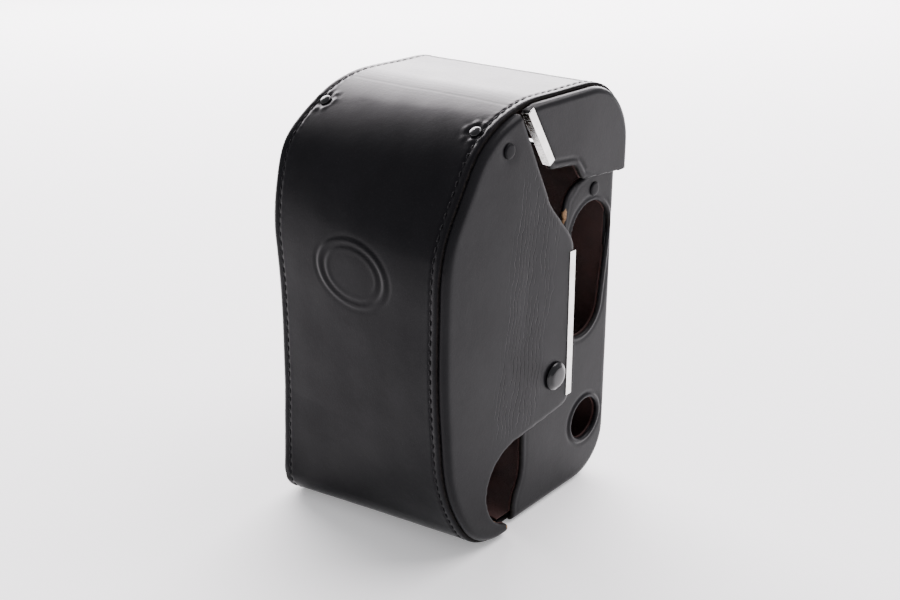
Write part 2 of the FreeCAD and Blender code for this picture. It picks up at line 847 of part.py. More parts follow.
cap = turned(
    "snap_cap_blank",
    [
        ("0", "0"),
        ("{cap_post_radius}", "0"),
        ("{cap_post_radius}", "{cap_post_length}"),
        ("{cap_radius}", "{cap_post_length}"),
        ("{cap_radius}", "{cap_post_length} + {cap_rim}"),
        ("{cap_crown_radius}", "{cap_post_length} + {cap_crown}"),
        ("0", "{cap_post_length} + {cap_crown}"),
    ],
)
placed(cap, Vector(dim("pan_half") + 0.05 - dim("cap_post_length"), *SNAP), OUTWARDS)
mirror_pair("snap_caps", cap)

socket = turned(
    "snap_socket_blank",
    [
        ("{socket_bore}", "0"),
        ("{socket_radius}", "0"),
        ("{socket_radius}", "{socket_length}"),
        ("0", "{socket_length}"),
        ("0", "{socket_depth}"),
        ("{socket_bore}", "{socket_depth}"),
    ],
)
SOCKET_TOP = COVER_INNER_FACE + 0.95
placed(socket, Vector(SOCKET_TOP - dim("socket_length"), *SNAP), OUTWARDS)
mirror_pair("snap_sockets", socket)

stud = turned(
    "snap_stud_blank",
    [
        ("0", "0"),
        ("{stud_flange_radius}", "0"),
        ("{stud_flange_radius}", "{stud_flange}"),
        ("{stud_neck_radius}", "{stud_flange}"),
        ("{stud_neck_radius}", "{stud_neck_height}"),
        ("{stud_head_radius}", "{stud_neck_height} + 0.2"),
        ("{stud_neck_radius}", "{stud_height}"),
        ("0", "{stud_height}"),
    ],
)
placed(stud, Vector(stud_seat + 0.02, *SNAP), OUTWARDS)
mirror_pair("snap_studs", stud)

post = turned(
    "snap_post_blank",
    [
        ("0", "0"),
        ("{post_radius}", "0"),
        ("{post_radius}", "{post_thickness}"),
        ("{post_shank}", "{post_thickness}"),
        ("{post_shank}", "{post_thickness} + {leather} - {stud_flange}"),
        ("0", "{post_thickness} + {leather} - {stud_flange}"),
    ],
)
placed(post, Vector(dim("half_pan") - dim("leather") - dim("post_thickness") - 0.02, *SNAP), OUTWARDS)
mirror_pair("snap_posts", post)


def rivet(name, grip, kind):
    """A band or side rivet with a low domed head. Its grip is the stack it goes through."""
    return turned(
        name,
        [
            ("0", "0"),
            ("{rivet_shank_radius}", "0"),
            ("{rivet_shank_radius}", grip),
            ("{" + kind + "_rivet_head_radius}", grip),
            ("{" + kind + "_rivet_head_radius}", grip + " + {rivet_rim}"),
            ("{" + kind + "_rivet_head_flat}", grip + " + {rivet_head}"),
            ("0", grip + " + {rivet_head}"),
        ],
    )


def burr(name):
    """The ring that a rivet's inner end is clenched over."""
    return turned(
        name,
        [
            ("{rivet_shank_radius} + 0.03", "0"),
            ("{burr_radius}", "0"),
            ("{burr_radius}", "{burr}"),
            ("{rivet_shank_radius} + 0.03", "{burr}"),
        ],
    )


# Corner bracket: one leg under the band's flange, one on the side lining.
bracket_top = (
    dim("shoulder_radius")
    - flange_inner
    - (dim("bracket_width") / 2) ** 2 / (2 * (dim("shoulder_radius") - flange_inner))
    - dim("glue_gap")
)
bracket_outer = lining_face - dim("lining") - dim("glue_gap")
SIDE_LEG = 17.0
leg = Part.makeBox(
    dim("bracket_leg"),
    dim("bracket_width"),
    dim("bracket_sheet"),
    Vector(
        bracket_outer - dim("bracket_leg"),
        -dim("bracket_width") / 2,
        bracket_top - dim("bracket_sheet"),
    ),
)
side_leg = Part.makeBox(
    dim("bracket_sheet"),
    dim("bracket_width") + 2.0,
    SIDE_LEG,
    Vector(bracket_outer - dim("bracket_sheet"), -dim("bracket_width") / 2, bracket_top - SIDE_LEG),
)
bracket = leg.fuse(side_leg).removeSplitter()
bend_edges = [
    edge
    for edge in bracket.Edges
    if min(edge.BoundBox.XMin - bracket_outer, edge.BoundBox.ZMin - bracket_top) > -0.001
]
bracket = bracket.makeFillet(0.6, bend_edges)
bracket.rotate(Vector(0, 0, 0), Vector(1, 0, 0), BAND_RIVET_TILT)
bracket.translate(Vector(0, *SHOULDER))
bracket = bracket.cut(band_rod(SHANK_HOLE, 30, 80)).cut(side_rod(SIDE_RIVET, SHANK_HOLE, 30, 60))
formed("corner_brackets", both_sides(one_solid(bracket)))

TILT = Rotation(Vector(1, 0, 0), BAND_RIVET_TILT)
band_grip = dim("shoulder_radius") - bracket_top + dim("bracket_sheet") + dim("burr") + 0.3
band_rivet = rivet("band_rivet_blank", str(round(band_grip, 3)), "band")
seat = on_circle(SHOULDER, dim("shoulder_radius") + 0.05 - band_grip, band_rivet_direction)
placed(band_rivet, Vector(BAND_RIVET_X, *seat), TILT)
mirror_pair("corner_band_rivets", band_rivet)
band_burr = burr("band_burr_blank")
seat = on_circle(SHOULDER, bracket_top - dim("bracket_sheet") - dim("burr") - 0.03, band_rivet_direction)
placed(band_burr, Vector(BAND_RIVET_X, *seat), TILT)
mirror_pair("corner_band_rivet_burrs", band_burr)

side_grip = dim("pan_half") - bracket_outer + dim("bracket_sheet") + dim("burr") + 0.1
side_rivet = rivet("side_rivet_blank", str(round(side_grip, 3)), "side")
placed(side_rivet, Vector(dim("pan_half") + 0.05 - side_grip, *SIDE_RIVET), OUTWARDS)
mirror_pair("corner_side_rivets", side_rivet)
side_burr = burr("side_burr_blank")
side_burr_x = bracket_outer - dim("bracket_sheet") - dim("burr") - 0.03
placed(side_burr, Vector(side_burr_x, *SIDE_RIVET), OUTWARDS)
mirror_pair("corner_side_rivet_burrs", side_burr)

lug_grip = dim("leather") + dim("glue_gap") + dim("lining") + dim("burr") + 0.1
lug_rivet = rivet("lug_rivet_blank", str(round(lug_grip, 3)), "side")
placed(lug_rivet, Vector(dim("half_pan") + 0.05 - lug_grip, *LUG_RIVET), OUTWARDS)
mirror_pair("half_case_side_rivets", lug_rivet)
lug_burr = burr("lug_burr_blank")
lug_burr_x = half_lining_face - dim("lining") - dim("burr") - 0.03
placed(lug_burr, Vector(lug_burr_x, *LUG_RIVET), OUTWARDS)
mirror_pair("half_case_side_rivet_burrs", lug_burr)

# ---------------------------------------------------------------------------------------
# Edge trims: a channel padded from a sketch that is bound to the sheet
# ---------------------------------------------------------------------------------------


def channel(name, length_alias):
    """A U-shaped strip. Its web is towards +Y, its length runs up Z, and its legs wrap X."""
    inner = dim("leather") + dim("lining") + dim("glue_gap") + 0.1
    outer = inner + 2 * dim("trim_sheet")
    reach = dim("trim_leg") + dim("trim_sheet")
    body = doc.addObject("PartDesign::Body", name)
    sketch = body.newObject("Sketcher::SketchObject", name + "_section")
    sketch.AttachmentSupport = [(role_plane(body, "XY_Plane"), "")]
    sketch.MapMode = "FlatFace"
    depth = "{leather} + {lining} + {glue_gap} + 0.1"
    corners = [
        (0, 0, "0", "0"),
        (dim("trim_sheet"), 0, "{trim_sheet}", "0"),
        (dim("trim_sheet"), dim("trim_leg"), "{trim_sheet}", "{trim_leg}"),
        (
            dim("trim_sheet") + inner,
            dim("trim_leg"),
            "{trim_sheet} + " + depth,
            "{trim_leg}",
        ),
        (dim("trim_sheet") + inner, 0, "{trim_sheet} + " + depth, "0"),
        (outer, 0, "2 * {trim_sheet} + " + depth, "0"),
        (outer, reach, "2 * {trim_sheet} + " + depth, "{trim_leg} + {trim_sheet}"),
        (0, reach, "0", "{trim_leg} + {trim_sheet}"),
    ]
    count = len(corners)
    for i in range(count):
        start, end = corners[i], corners[(i + 1) % count]
        sketch.addGeometry(Part.LineSegment(Vector(start[0], start[1], 0), Vector(end[0], end[1], 0)), False)
    for i in range(count):
        sketch.addConstraint(Sketcher.Constraint("Coincident", i, 2, (i + 1) % count, 1))
    for i, (across, deep, across_formula, deep_formula) in enumerate(corners):
        for axis, value, formula, zero_axis in (
            ("DistanceX", across, across_formula, -2),
            ("DistanceY", deep, deep_formula, -1),
        ):
            if abs(value) < 1e-9:
                sketch.addConstraint(Sketcher.Constraint("PointOnObject", i, 1, zero_axis))
                continue
            index = sketch.addConstraint(Sketcher.Constraint(axis, -1, 1, i, 1, value))
            bind(sketch, f"Constraints[{index}]", formula)
    pad = body.newObject("PartDesign::Pad", name + "_length")
    pad.Profile = sketch
    bind(pad, "Length", "{" + length_alias + "}")
    body.Tip = pad
    doc.recompute()
    return body


FRONT_TRIM_EDGE = 22.1
FRONT_TRIM_LOW = 52.0
trim_inner_x = lining_face - dim("lining") - dim("trim_sheet") - 0.05
front_trim = channel("front_trim_blank", "front_trim_length")
trim_y = FRONT_TRIM_EDGE + 0.05 - dim("trim_leg")
placed(front_trim, Vector(trim_inner_x, trim_y, FRONT_TRIM_LOW), UPWARDS)
mirror_pair("front_cover_edge_trims", front_trim)

# The top cover's trim lies on the slanting edge, with its web ahead.
edge_run = along(TOP_EDGE_LOW, TOP_EDGE_HIGH)
lean = math.degrees(math.atan2(-edge_run[0], edge_run[1]))
top_trim = channel("top_trim_blank", "top_trim_length")
TOP_TRIM_START = 0.6
turn = Rotation(Vector(1, 0, 0), lean) * Rotation(Vector(0, 0, 1), 180)
across = (edge_run[1], -edge_run[0])
corner = on_circle(TOP_EDGE_LOW, TOP_TRIM_START, edge_run)
corner = on_circle(corner, dim("trim_leg") - 0.05, across)
trim_outer_x = trim_inner_x + 2 * dim("trim_sheet") + dim("leather") + dim("lining") + dim("glue_gap") + 0.1
placed(top_trim, Vector(trim_outer_x, *corner), turn)
mirror_pair("top_cover_edge_trims", top_trim)

# ---------------------------------------------------------------------------------------
# Retaining screw in its cup
# ---------------------------------------------------------------------------------------

cup = turned(
    "screw_cup_blank",
    [
        ("{cup_radius} - {cup_sheet}", "0"),
        ("{cup_flange_radius}", "0"),
        ("{cup_flange_radius}", "{cup_sheet}"),
        ("{cup_radius}", "{cup_sheet}"),
        ("{cup_radius}", "{cup_height}"),
        ("{cup_hole_radius}", "{cup_height}"),
        ("{cup_hole_radius}", "{cup_height} - {cup_sheet}"),
        ("{cup_radius} - {cup_sheet}", "{cup_height} - {cup_sheet}"),
    ],
)
placed(cup, screw_axis + Vector(0, 0, board_low), UPWARDS)
doc.recompute()
cup_shape = cup.Shape.copy()
for place in CUP_RIVETS:
    cup_shape = cup_shape.cut(upright(1.3, -1, 10, place))
formed("screw_cup", one_solid(cup_shape))

cup_rivets = []
for place in CUP_RIVETS:
    flush = upright(CUP_RIVET_HEAD, 0.3, CUP_RIVET_SINK - 0.02, place)
    shank = upright(1.2, 0.3, board_low + dim("cup_sheet") + 0.05, place)
    clench = upright(2.0, board_low + dim("cup_sheet") + 0.03, board_low + dim("cup_sheet") + 0.7, place)
    cup_rivets.append(one_solid(flush.fuse(shank).fuse(clench).removeSplitter()))
formed("screw_cup_rivets", Part.makeCompound(cup_rivets))

screw = turned(
    "base_screw_blank",
    [
        ("{thread_radius}", "0"),
        ("{screw_head_radius} - 0.5", "0"),
        ("{screw_head_radius}", "0.5"),
        ("{screw_head_radius}", "{screw_head_height} - 0.5"),
        ("{screw_head_radius} - 0.5", "{screw_head_height}"),
        ("{screw_neck_radius}", "{screw_head_height}"),
        ("{screw_neck_radius}", "{screw_neck_top} - {screw_head_low}"),
        ("{thread_radius}", "{screw_neck_top} - {screw_head_low} + 0.4"),
        ("{thread_radius}", "{screw_top} - {screw_head_low} - 0.7"),
        ("{screw_neck_radius}", "{screw_top} - {screw_head_low}"),
        ("0", "{screw_top} - {screw_head_low}"),
        ("0", "{socket_thread_depth}"),
        ("{thread_radius}", "{socket_thread_depth}"),
    ],
)
placed(screw, screw_axis + Vector(0, 0, dim("screw_head_low")), UPWARDS)
doc.recompute()
FLUTES = 30
FLUTE_RADIUS = 0.5
screw_shape = screw.Shape.copy()
flutes = [
    upright(
        FLUTE_RADIUS,
        0,
        8,
        Vector(
            dim("screw_head_radius") * math.cos(2 * math.pi * i / FLUTES),
            dim("screw_head_radius") * math.sin(2 * math.pi * i / FLUTES),
            0,
        ),
    )
    for i in range(FLUTES)
]
formed("base_screw", one_solid(screw_shape.cut(Part.makeCompound(flutes))))

ring_low = board_low + dim("cup_height") + 0.05
keeper = upright(dim("ring_radius"), ring_low, ring_low + dim("ring_thickness"))
keeper = keeper.cut(upright(dim("screw_neck_radius") + 0.05, 0, 20))
mouth = Part.makeBox(3.4, 10, 5, screw_axis + Vector(-1.7, 0, ring_low - 1))
formed("screw_retaining_ring", one_solid(keeper.cut(mouth)))

# ---------------------------------------------------------------------------------------
# Check and export
# ---------------------------------------------------------------------------------------

doc.recompute()
for thing in doc.Objects:
    if "Invalid" in thing.State or "Error" in thing.State:
        raise RuntimeError(f"{thing.Label}: {thing.State}")

os.makedirs("parts", exist_ok=True)
for label, thing in nodes.items():
    shape = thing.Shape
    if shape.isNull() or not shape.isValid() or not shape.Solids:
        raise RuntimeError(f"{label} has no valid solid")
    shape.exportStep(os.path.join("parts", label + ".step"))
    print(f"{label}: {len(shape.Solids)} solid(s), {shape.Volume:.1f} mm3")
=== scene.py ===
import math
import random

import bmesh
import bpy
import numpy as np
from mathutils import Matrix, Vector


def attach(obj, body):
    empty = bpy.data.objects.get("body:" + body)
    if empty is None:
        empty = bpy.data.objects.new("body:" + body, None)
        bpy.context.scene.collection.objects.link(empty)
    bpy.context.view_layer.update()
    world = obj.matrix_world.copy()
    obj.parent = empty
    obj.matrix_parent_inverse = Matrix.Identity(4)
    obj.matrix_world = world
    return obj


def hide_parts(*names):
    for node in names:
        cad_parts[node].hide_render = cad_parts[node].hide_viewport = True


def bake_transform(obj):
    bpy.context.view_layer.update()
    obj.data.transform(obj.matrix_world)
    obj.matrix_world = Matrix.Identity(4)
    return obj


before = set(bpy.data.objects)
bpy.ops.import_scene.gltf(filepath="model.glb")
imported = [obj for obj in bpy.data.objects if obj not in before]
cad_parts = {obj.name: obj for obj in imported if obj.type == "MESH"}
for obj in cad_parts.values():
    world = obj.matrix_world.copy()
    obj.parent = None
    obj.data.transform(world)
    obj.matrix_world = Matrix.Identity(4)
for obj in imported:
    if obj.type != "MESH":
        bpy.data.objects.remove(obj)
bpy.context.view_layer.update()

MM = 0.001

# ---------------------------------------------------------------------------------------
# Floor, light and camera: a pale table in a bright room with one large window light
# behind the case. None of this is part of the object.
# ---------------------------------------------------------------------------------------


class Wire:
    """A shader socket that adds, multiplies and compares as a number does."""

    def __init__(self, socket):
        self.socket = socket

    def maths(self, operation, *others):
        settings = {"operation": operation}
        return add_node(self.socket.id_data, "ShaderNodeMath", settings, [self, *others])

    def __add__(self, other):
        return self.maths("ADD", other)

    def __sub__(self, other):
        return self.maths("SUBTRACT", other)

    def __rsub__(self, other):
        return self.maths("MULTIPLY_ADD", -1.0, other)

    def __mul__(self, other):
        return self.maths("MULTIPLY", other)

    def __pow__(self, other):
        return self.maths("POWER", other)

    def __abs__(self):
        return self.maths("ABSOLUTE")

    __radd__, __rmul__ = __add__, __mul__

    def between(self, low, high):
        """0 up to low and 1 from high, with a smooth step between them."""
        settings = {"interpolation_type": "SMOOTHSTEP"}
        return add_node(self.socket.id_data, "ShaderNodeMapRange", settings, [self, low, high])


def add_node(tree, kind, settings, values, output=0):
    """Adds a node, sets it up, and gives one of its outputs."""
    node = tree.nodes.new(kind)
    for name, setting in settings.items():
        setattr(node, name, setting)
    pairs = values.items() if isinstance(values, dict) else enumerate(values)
    for key, value in pairs:
        if isinstance(value, Wire):
            tree.links.new(value.socket, node.inputs[key])
        else:
            node.inputs[key].default_value = value
    return Wire(node.outputs[output])


class Finish:
    """A material being made."""

    def __init__(self, name, **constants):
        self.material = bpy.data.materials.new(name)
        self.material.use_nodes = True
        self.tree = self.material.node_tree
        self.shader = self.tree.nodes["Principled BSDF"]
        for key, value in constants.items():
            self.shader.inputs[key.replace("_", " ")].default_value = value
        self.place = self.node("TexCoord", {}, {}, 3)

    def node(self, kind, settings, values, output=0):
        return add_node(self.tree, "ShaderNode" + kind, settings, values, output)

    def noise(self, scale, detail=2.0, place=None, **values):
        """Noise about its middle value, one half. The scale is in features per metre."""
        sockets = {"Vector": place or self.place, "Scale": scale, "Detail": detail, **values}
        return self.node("TexNoise", {}, sockets)

    def axes(self):
        """X, Y and Z in metres."""
        split = self.tree.nodes.new("ShaderNodeSeparateXYZ")
        self.tree.links.new(self.place.socket, split.inputs[0])
        return [Wire(output) for output in split.outputs]

    def painted(self, name):
        """A number that was stored on the mesh's points."""
        return self.node("Attribute", {"attribute_name": name}, {}, 2)

    def mix(self, share, first, second):
        """A colour between two."""
        values = {0: share, 6: first, 7: second}
        return self.node("Mix", {"data_type": "RGBA"}, values, 2)

    def feed(self, **sockets):
        for key, value in sockets.items():
            self.tree.links.new(value.socket, self.shader.inputs[key.replace("_", " ")])

    def relief(self, height, strength=1.0):
        """Bumps of that height in metres."""
        values = {"Strength": strength, "Distance": 1.0, "Height": height}
        self.feed(Normal=self.node("Bump", {}, values))


def rgb(red, green, blue):
    return (red, green, blue, 1.0)


floor_mesh = bmesh.new()
bmesh.ops.create_grid(floor_mesh, x_segments=1, y_segments=1, size=4.0)
bmesh.ops.translate(floor_mesh, vec=(0, 0, -0.0003), verts=floor_mesh.verts)
floor_data = bpy.data.meshes.new("floor")
floor_mesh.to_mesh(floor_data)
floor_mesh.free()
floor = bpy.data.objects.new("floor", floor_data)
bpy.context.scene.collection.objects.link(floor)
paper = Finish("floor_paper", Roughness=0.75, Emission_Color=rgb(1.0, 0.985, 1.0), Emission_Strength=0.25)
paper.feed(
    Base_Color=paper.mix(
        paper.noise(3.0), rgb(0.90, 0.90, 0.90), rgb(0.93, 0.93, 0.93)
    )
)
floor_data.materials.append(paper.material)

world = bpy.data.worlds.new("room")
bpy.context.scene.world = world
world.use_nodes = True
world.node_tree.nodes["Background"].inputs["Color"].default_value = rgb(0.97, 0.97, 1.0)
world.node_tree.nodes["Background"].inputs["Strength"].default_value = 0.8


def softbox(name, centre, target, width, height, power):
    """An area light facing the target."""
    data = bpy.data.lights.new(name, "AREA")
    data.shape = "RECTANGLE"
    data.size, data.size_y, data.energy = width, height, power
    data.color = (1.0, 0.95, 0.985)
    light = bpy.data.objects.new(name, data)
    bpy.context.scene.collection.objects.link(light)
    light.location = centre
    facing = Vector(target) - Vector(centre)
    light.rotation_euler = facing.to_track_quat("-Z", "Y").to_euler()
    return light


softbox("window_light", (-1.25, 1.15, 0.98), (0.0, 0.0, 0.1), 2.9, 1.25, 190.0)
softbox("top_light", (0.9, 1.3, 2.2), (0.0, 0.0, 0.0), 1.8, 1.8, 80.0)

lens = bpy.data.cameras.new("camera")
lens.lens, lens.sensor_width = 44.0, 36.0
lens.clip_start, lens.clip_end = 0.02, 20.0
camera = bpy.data.objects.new("camera", lens)
bpy.context.scene.collection.objects.link(camera)
azimuth, elevation, roll = math.radians(42.319), math.radians(23.203), math.radians(-0.740)
forward = Vector(
    (
        -math.sin(azimuth) * math.cos(elevation),
        math.cos(azimuth) * math.cos(elevation),
        -math.sin(elevation),
    )
)
right = Vector((math.cos(azimuth), math.sin(azimuth), 0.0))
up = right.cross(forward)
columns = (
    right * math.cos(roll) + up * math.sin(roll),
    up * math.cos(roll) - right * math.sin(roll),
    -forward,
)
camera.matrix_world = Matrix.Translation((0.29524, -0.32333, 0.27649)) @ Matrix(columns).transposed().to_4x4()
bpy.context.scene.camera = camera

# ---------------------------------------------------------------------------------------
# Black leather: vegetable-tanned hide, dyed and pressed smooth, with a polished face.
# Cut edges are dyed thinly and show brown where they rub.
# ---------------------------------------------------------------------------------------


def leather(name, roughness, coat, shine, creases=None):
    """Leather. "edge" on the mesh is 1 on a cut edge, and "rub" is 1 where hands wear it."""
    hide = Finish(name, Specular_IOR_Level=shine, Coat_Roughness=0.13, Coat_IOR=1.05 + shine * 1.7)
    cloudy = hide.noise(38.0, 4.0)
    fine = hide.noise(900.0, 3.0)
    pores = hide.node("TexVoronoi", {"feature": "SMOOTH_F1"}, {"Vector": hide.place, "Scale": 1500.0})
    dust = hide.noise(2600.0, 2.0).between(0.62, 0.72)
    edge, rub = hide.painted("edge"), hide.painted("rub")
    black = hide.mix(cloudy, rgb(0.0032, 0.0031, 0.0038), rgb(0.0070, 0.0067, 0.0080))
    dusty = hide.mix(dust * 0.035, black, rgb(0.18, 0.17, 0.17))
    cut = hide.mix(fine.between(0.35, 0.7), rgb(0.005, 0.0045, 0.0045), rgb(0.013, 0.011, 0.010))
    tan = hide.mix(fine.between(0.3, 0.7), rgb(0.16, 0.085, 0.040), rgb(0.34, 0.21, 0.12))
    edged = hide.mix(edge, dusty, cut)
    worn = hide.noise(420.0, 3.0) + rub * 1.3
    worn = worn.between(1.05, 1.45)
    hide.feed(
        Base_Color=hide.mix(worn, edged, tan),
        Roughness=(cloudy - 0.5) * 0.16 + (fine - 0.5) * 0.12 + roughness + edge * 0.25 + worn * 0.3,
        Coat_Weight=(cloudy.between(0.35, 0.65) * 0.3 + 0.7) * coat * (1.0 - edge * 0.8),
    )
    height = (fine - 0.5) * 0.000022 + pores * 0.000018 + (hide.noise(150.0, 3.0) - 0.5) * 0.00008
    if creases:
        height = height + creases(hide)
    hide.relief(height)
    return hide.material


def finish_mesh(name, data, material):
    """Makes an object of a mesh, smooth shaded."""
    for polygon in data.polygons:
        polygon.use_smooth = True
    data.materials.clear()
    data.materials.append(material)
    made = bpy.data.objects.new(name, data)
    bpy.context.scene.collection.objects.link(made)
    return made


def paint(data, name, values):
    """Stores one number for each point of a mesh."""
    layer = data.attributes.new(name, "FLOAT", "POINT")
    layer.data.foreach_set("value", np.asarray(values, np.float32))


def hump(distance, width):
    return np.exp(-((distance / width) ** 2))


def ripple(points, seed, wavelengths=(38.0, 21.0, 12.0)):
    """A smooth hand-made unevenness of a surface, about -1 to 1. Points are in millimetres."""
    dice = np.random.default_rng(seed)
    total = np.zeros(len(points))
    for length in wavelengths:
        for _ in range(3):
            way = dice.normal(size=3)
            way /= np.linalg.norm(way)
            total += np.sin(points @ way * 2 * math.pi / length + dice.uniform(0, 6.3)) / 9
    return total


# ---------------------------------------------------------------------------------------
# The cover's band: one strip of 2 mm leather from the fold under the toe, up the front and
# over the top to the back edge, wet-moulded on a former. It creases where the top opens.
# ---------------------------------------------------------------------------------------


class Outline:
    """One side of the band's surface: places and outward directions, step by step, as (Y, Z)."""

    def __init__(self):
        self.places, self.outward = [], []

    def line(self, start, end, facing_start, facing_end, count):
        for share in np.linspace(0, 1, count, endpoint=False):
            self.places.append(np.array(start) * (1 - share) + np.array(end) * share)
            self.outward.append(np.array(facing_start) * (1 - share) + np.array(facing_end) * share)
        return self

    def arc(self, centre, radius, start, end, count):
        """Directions are angles in degrees: 180 faces ahead, 90 up and -90 down."""
        for angle in np.radians(np.linspace(start, end, count, endpoint=False)):
            facing = np.array([math.cos(angle), math.sin(angle)])
            self.places.append(np.array(centre) + radius * facing)
            self.outward.append(facing)
        return self


def angle_between(start, end):
    return math.degrees(math.atan2(end[1] - start[1], end[0] - start[0]))


ahead, above, below, behind = (-1.0, 0.0), (0.0, 1.0), (0.0, -1.0), (1.0, 0.0)
shoulder, shin = (0.8, 128.9), (20.0, 52.3)
brow = (17.0, shoulder[1] - math.sqrt((73.5 - 55.1) ** 2 - (17.0 - 0.8) ** 2))
toe = (shin[0] - math.sqrt((76.5 - 28.0) ** 2 - (52.3 - 28.0) ** 2), 28.0)
square_toe, crown = (-47.5, 12.0), (31.5, 156.0)
toe_angle = angle_between(shin, toe) + 360 if angle_between(shin, toe) < 0 else angle_between(shin, toe)
brow_angle = angle_between(brow, shoulder)
FOLD_END, BACK_EDGE, STEPS = -18.8, 148.4, (5, 50, 44, 72, 42, 96, 44, 58, 12)


def outline(is_left):
    """The band's edge line on the case's own left or right, from the fold to the back edge."""
    side = Outline()
    if is_left:
        side.line((FOLD_END, 0), (toe[0], 0), below, below, STEPS[0])
        side.arc(toe, 28.0, 270, toe_angle, STEPS[1])
        side.arc(shin, 76.5, toe_angle, 180, STEPS[2])
    else:
        side.line((FOLD_END, 0), (square_toe[0], 0), below, below, STEPS[0])
        side.arc(square_toe, 12.0, 270, 180, STEPS[1])
        side.line((-59.5, 12.0), (-56.9, 52.3), ahead, ahead, STEPS[2])
    front = -56.5 if is_left else -56.9
    side.line((front, 52.3), (-56.5, brow[1]), ahead, ahead, STEPS[3])
    side.arc(brow, 73.5, 180, brow_angle, STEPS[4])
    side.arc(shoulder, 55.1, brow_angle, 90, STEPS[5])
    side.line((0.8, 184.0), (31.5, 184.0), above, above, STEPS[6])
    side.arc(crown, 28.0, 90, 0, STEPS[7])
    side.line((59.5, 156.0), (59.5, BACK_EDGE), behind, behind, STEPS[8])
    side.places.append(np.array((59.5, BACK_EDGE)))
    side.outward.append(np.array(behind))
    return np.array(side.places), np.array(side.outward)


left_places, left_outward = outline(True)
right_places, right_outward = outline(False)
left_run = np.concatenate([[0], np.cumsum(np.linalg.norm(np.diff(left_places, axis=0), axis=1))])
right_run = np.concatenate([[0], np.cumsum(np.linalg.norm(np.diff(right_places, axis=0), axis=1))])


def on_band(step, x, depth):
    """Points in millimetres on the band: step is a place along it, as a fractional index."""
    step, x, depth = np.broadcast_arrays(np.asarray(step, float), x, depth)
    share = np.clip((x + 46.5) / 93.0, 0, 1)[..., None]
    low = np.clip(np.floor(step).astype(int), 0, len(left_places) - 2)
    part = (step - low)[..., None]

    def between(rows):
        return rows[low] * (1 - part) + rows[low + 1] * part

    place = between(left_places) * share + between(right_places) * (1 - share)
    outward = between(left_outward) * share + between(right_outward) * (1 - share)
    place = place - outward * depth[..., None]
    return np.concatenate([x[..., None], place], axis=-1)


# The worn front leans in and out. Each swell is its middle's height, its reach up and down, and
# how far back it leans. FOREMOST keeps the leather behind the square toe's front.
SQUARE_SWELLS = ((97.0, 42.0, 2.3), (164.0, 15.0, -2.9), (6.0, 14.0, -0.6))
SWEPT_SWELLS = ((84.0, 34.0, -2.2), (157.0, 14.0, 2.6), (14.0, 14.0, 0.5))
FOREMOST = -59.45


def lean(z, swells):
    return sum(amount * hump(z - middle, reach) for middle, reach, amount in swells)


def slouched(points):
    """The worn cover has lost its shape a little, more as it comes forward from its middle."""
    x, y, z = points[..., 0], points[..., 1], points[..., 2]
    share = np.clip((x + 46.5) / 93.0, 0, 1)
    near = np.clip((-24.0 - y) / 20.0, 0, 1)
    shift = lean(z, SQUARE_SWELLS) * (1 - share) + lean(z, SWEPT_SWELLS) * share
    moved = points.copy()
    moved[..., 1] = np.maximum(y + shift * near * near * (3 - 2 * near), FOREMOST)
    return moved


SEAM_X, RIVET_AT = 43.2, 40.3
STITCH = 4.0
CREASE_Y = -11.8


def band_depth(points, run, x):
    """How far the leather's face is sunk, in millimetres, at points of the band."""
    y, z = points[:, 1], points[:, 2]
    side = np.abs(x)
    depth = -0.22 * ripple(points, 3, (64.0, 34.0, 17.0))
    # The seam pulls the leather down along a channel, most at each stitch.
    pull = 0.34 + 0.14 * np.cos(2 * math.pi * run / STITCH)
    depth += pull * hump(side - SEAM_X, 0.52)
    depth -= 0.06 * hump(side - SEAM_X + 1.5, 0.8) * (0.5 - 0.5 * np.cos(2 * math.pi * run / STITCH))
    depth -= 0.12 * hump(side - 45.2, 0.7)
    # A dimple round each corner rivet, with a rim pushed up and small puckers in it.
    across = np.hypot(side - RIVET_AT, np.hypot(y + 28.5, z - 175.6))
    around = np.arctan2(side - RIVET_AT, y + 28.5)
    depth += 0.8 * hump(across, 3.3) - 0.22 * hump(across - 4.7, 1.2)
    depth += 0.10 * hump(across - 4.8, 2.0) * np.cos(7 * around + 1.0)
    # The crease where the top opens, with finer ones behind it.
    wander = 0.5 * np.sin(x / 9.0) + 0.3 * np.sin(x / 3.7 + 1.0)
    on_top = (z > 170).astype(float)
    depth += on_top * 0.07 * hump(y - CREASE_Y - 0.25 * wander, 0.7)
    for offset, deep in ((-4.2, 0.015), (-2.4, 0.02), (2.1, 0.025), (4.0, 0.02), (6.3, 0.015)):
        depth += on_top * deep * hump(y - CREASE_Y - offset - wander, 0.55)
    # A pressed oval ornament.
    ring = np.hypot(x / 19.0, (z - 118.0) / 13.0)
    on_front = (y < -40).astype(float)
    depth -= on_front * 0.30 * hump((ring - 1.0) * 15.0, 0.9)
    depth += on_front * 0.26 * hump((ring - 0.87) * 15.0, 0.7)
    depth -= on_front * 0.18 * hump((ring - 0.74) * 15.0, 0.7)
    depth += on_front * 0.22 * hump((ring - 1.12) * 15.0, 0.8)
    return depth


def band_section(half, thick, fine, count):
    """The section across a band: (X, depth, is it the outer face), all the way round."""
    outer = [(x, 0.0, 1.0) for x in np.linspace(-half + fine, half - fine, count)]
    rim = [(half - 0.25, 0.10, 0.8), (half - 0.05, 0.35, 0.3), (half, 0.75, 0.0)]
    rim += [(half, thick * 0.7, 0.0), (half - 0.12, thick - 0.2, 0.0)]
    inner = [(x, thick, 0.0) for x in np.linspace(half - 0.5, -half + 0.5, 21)]
    back = [(-x, depth, outside) for x, depth, outside in reversed(rim)]
    return np.array(outer + rim + inner + back)


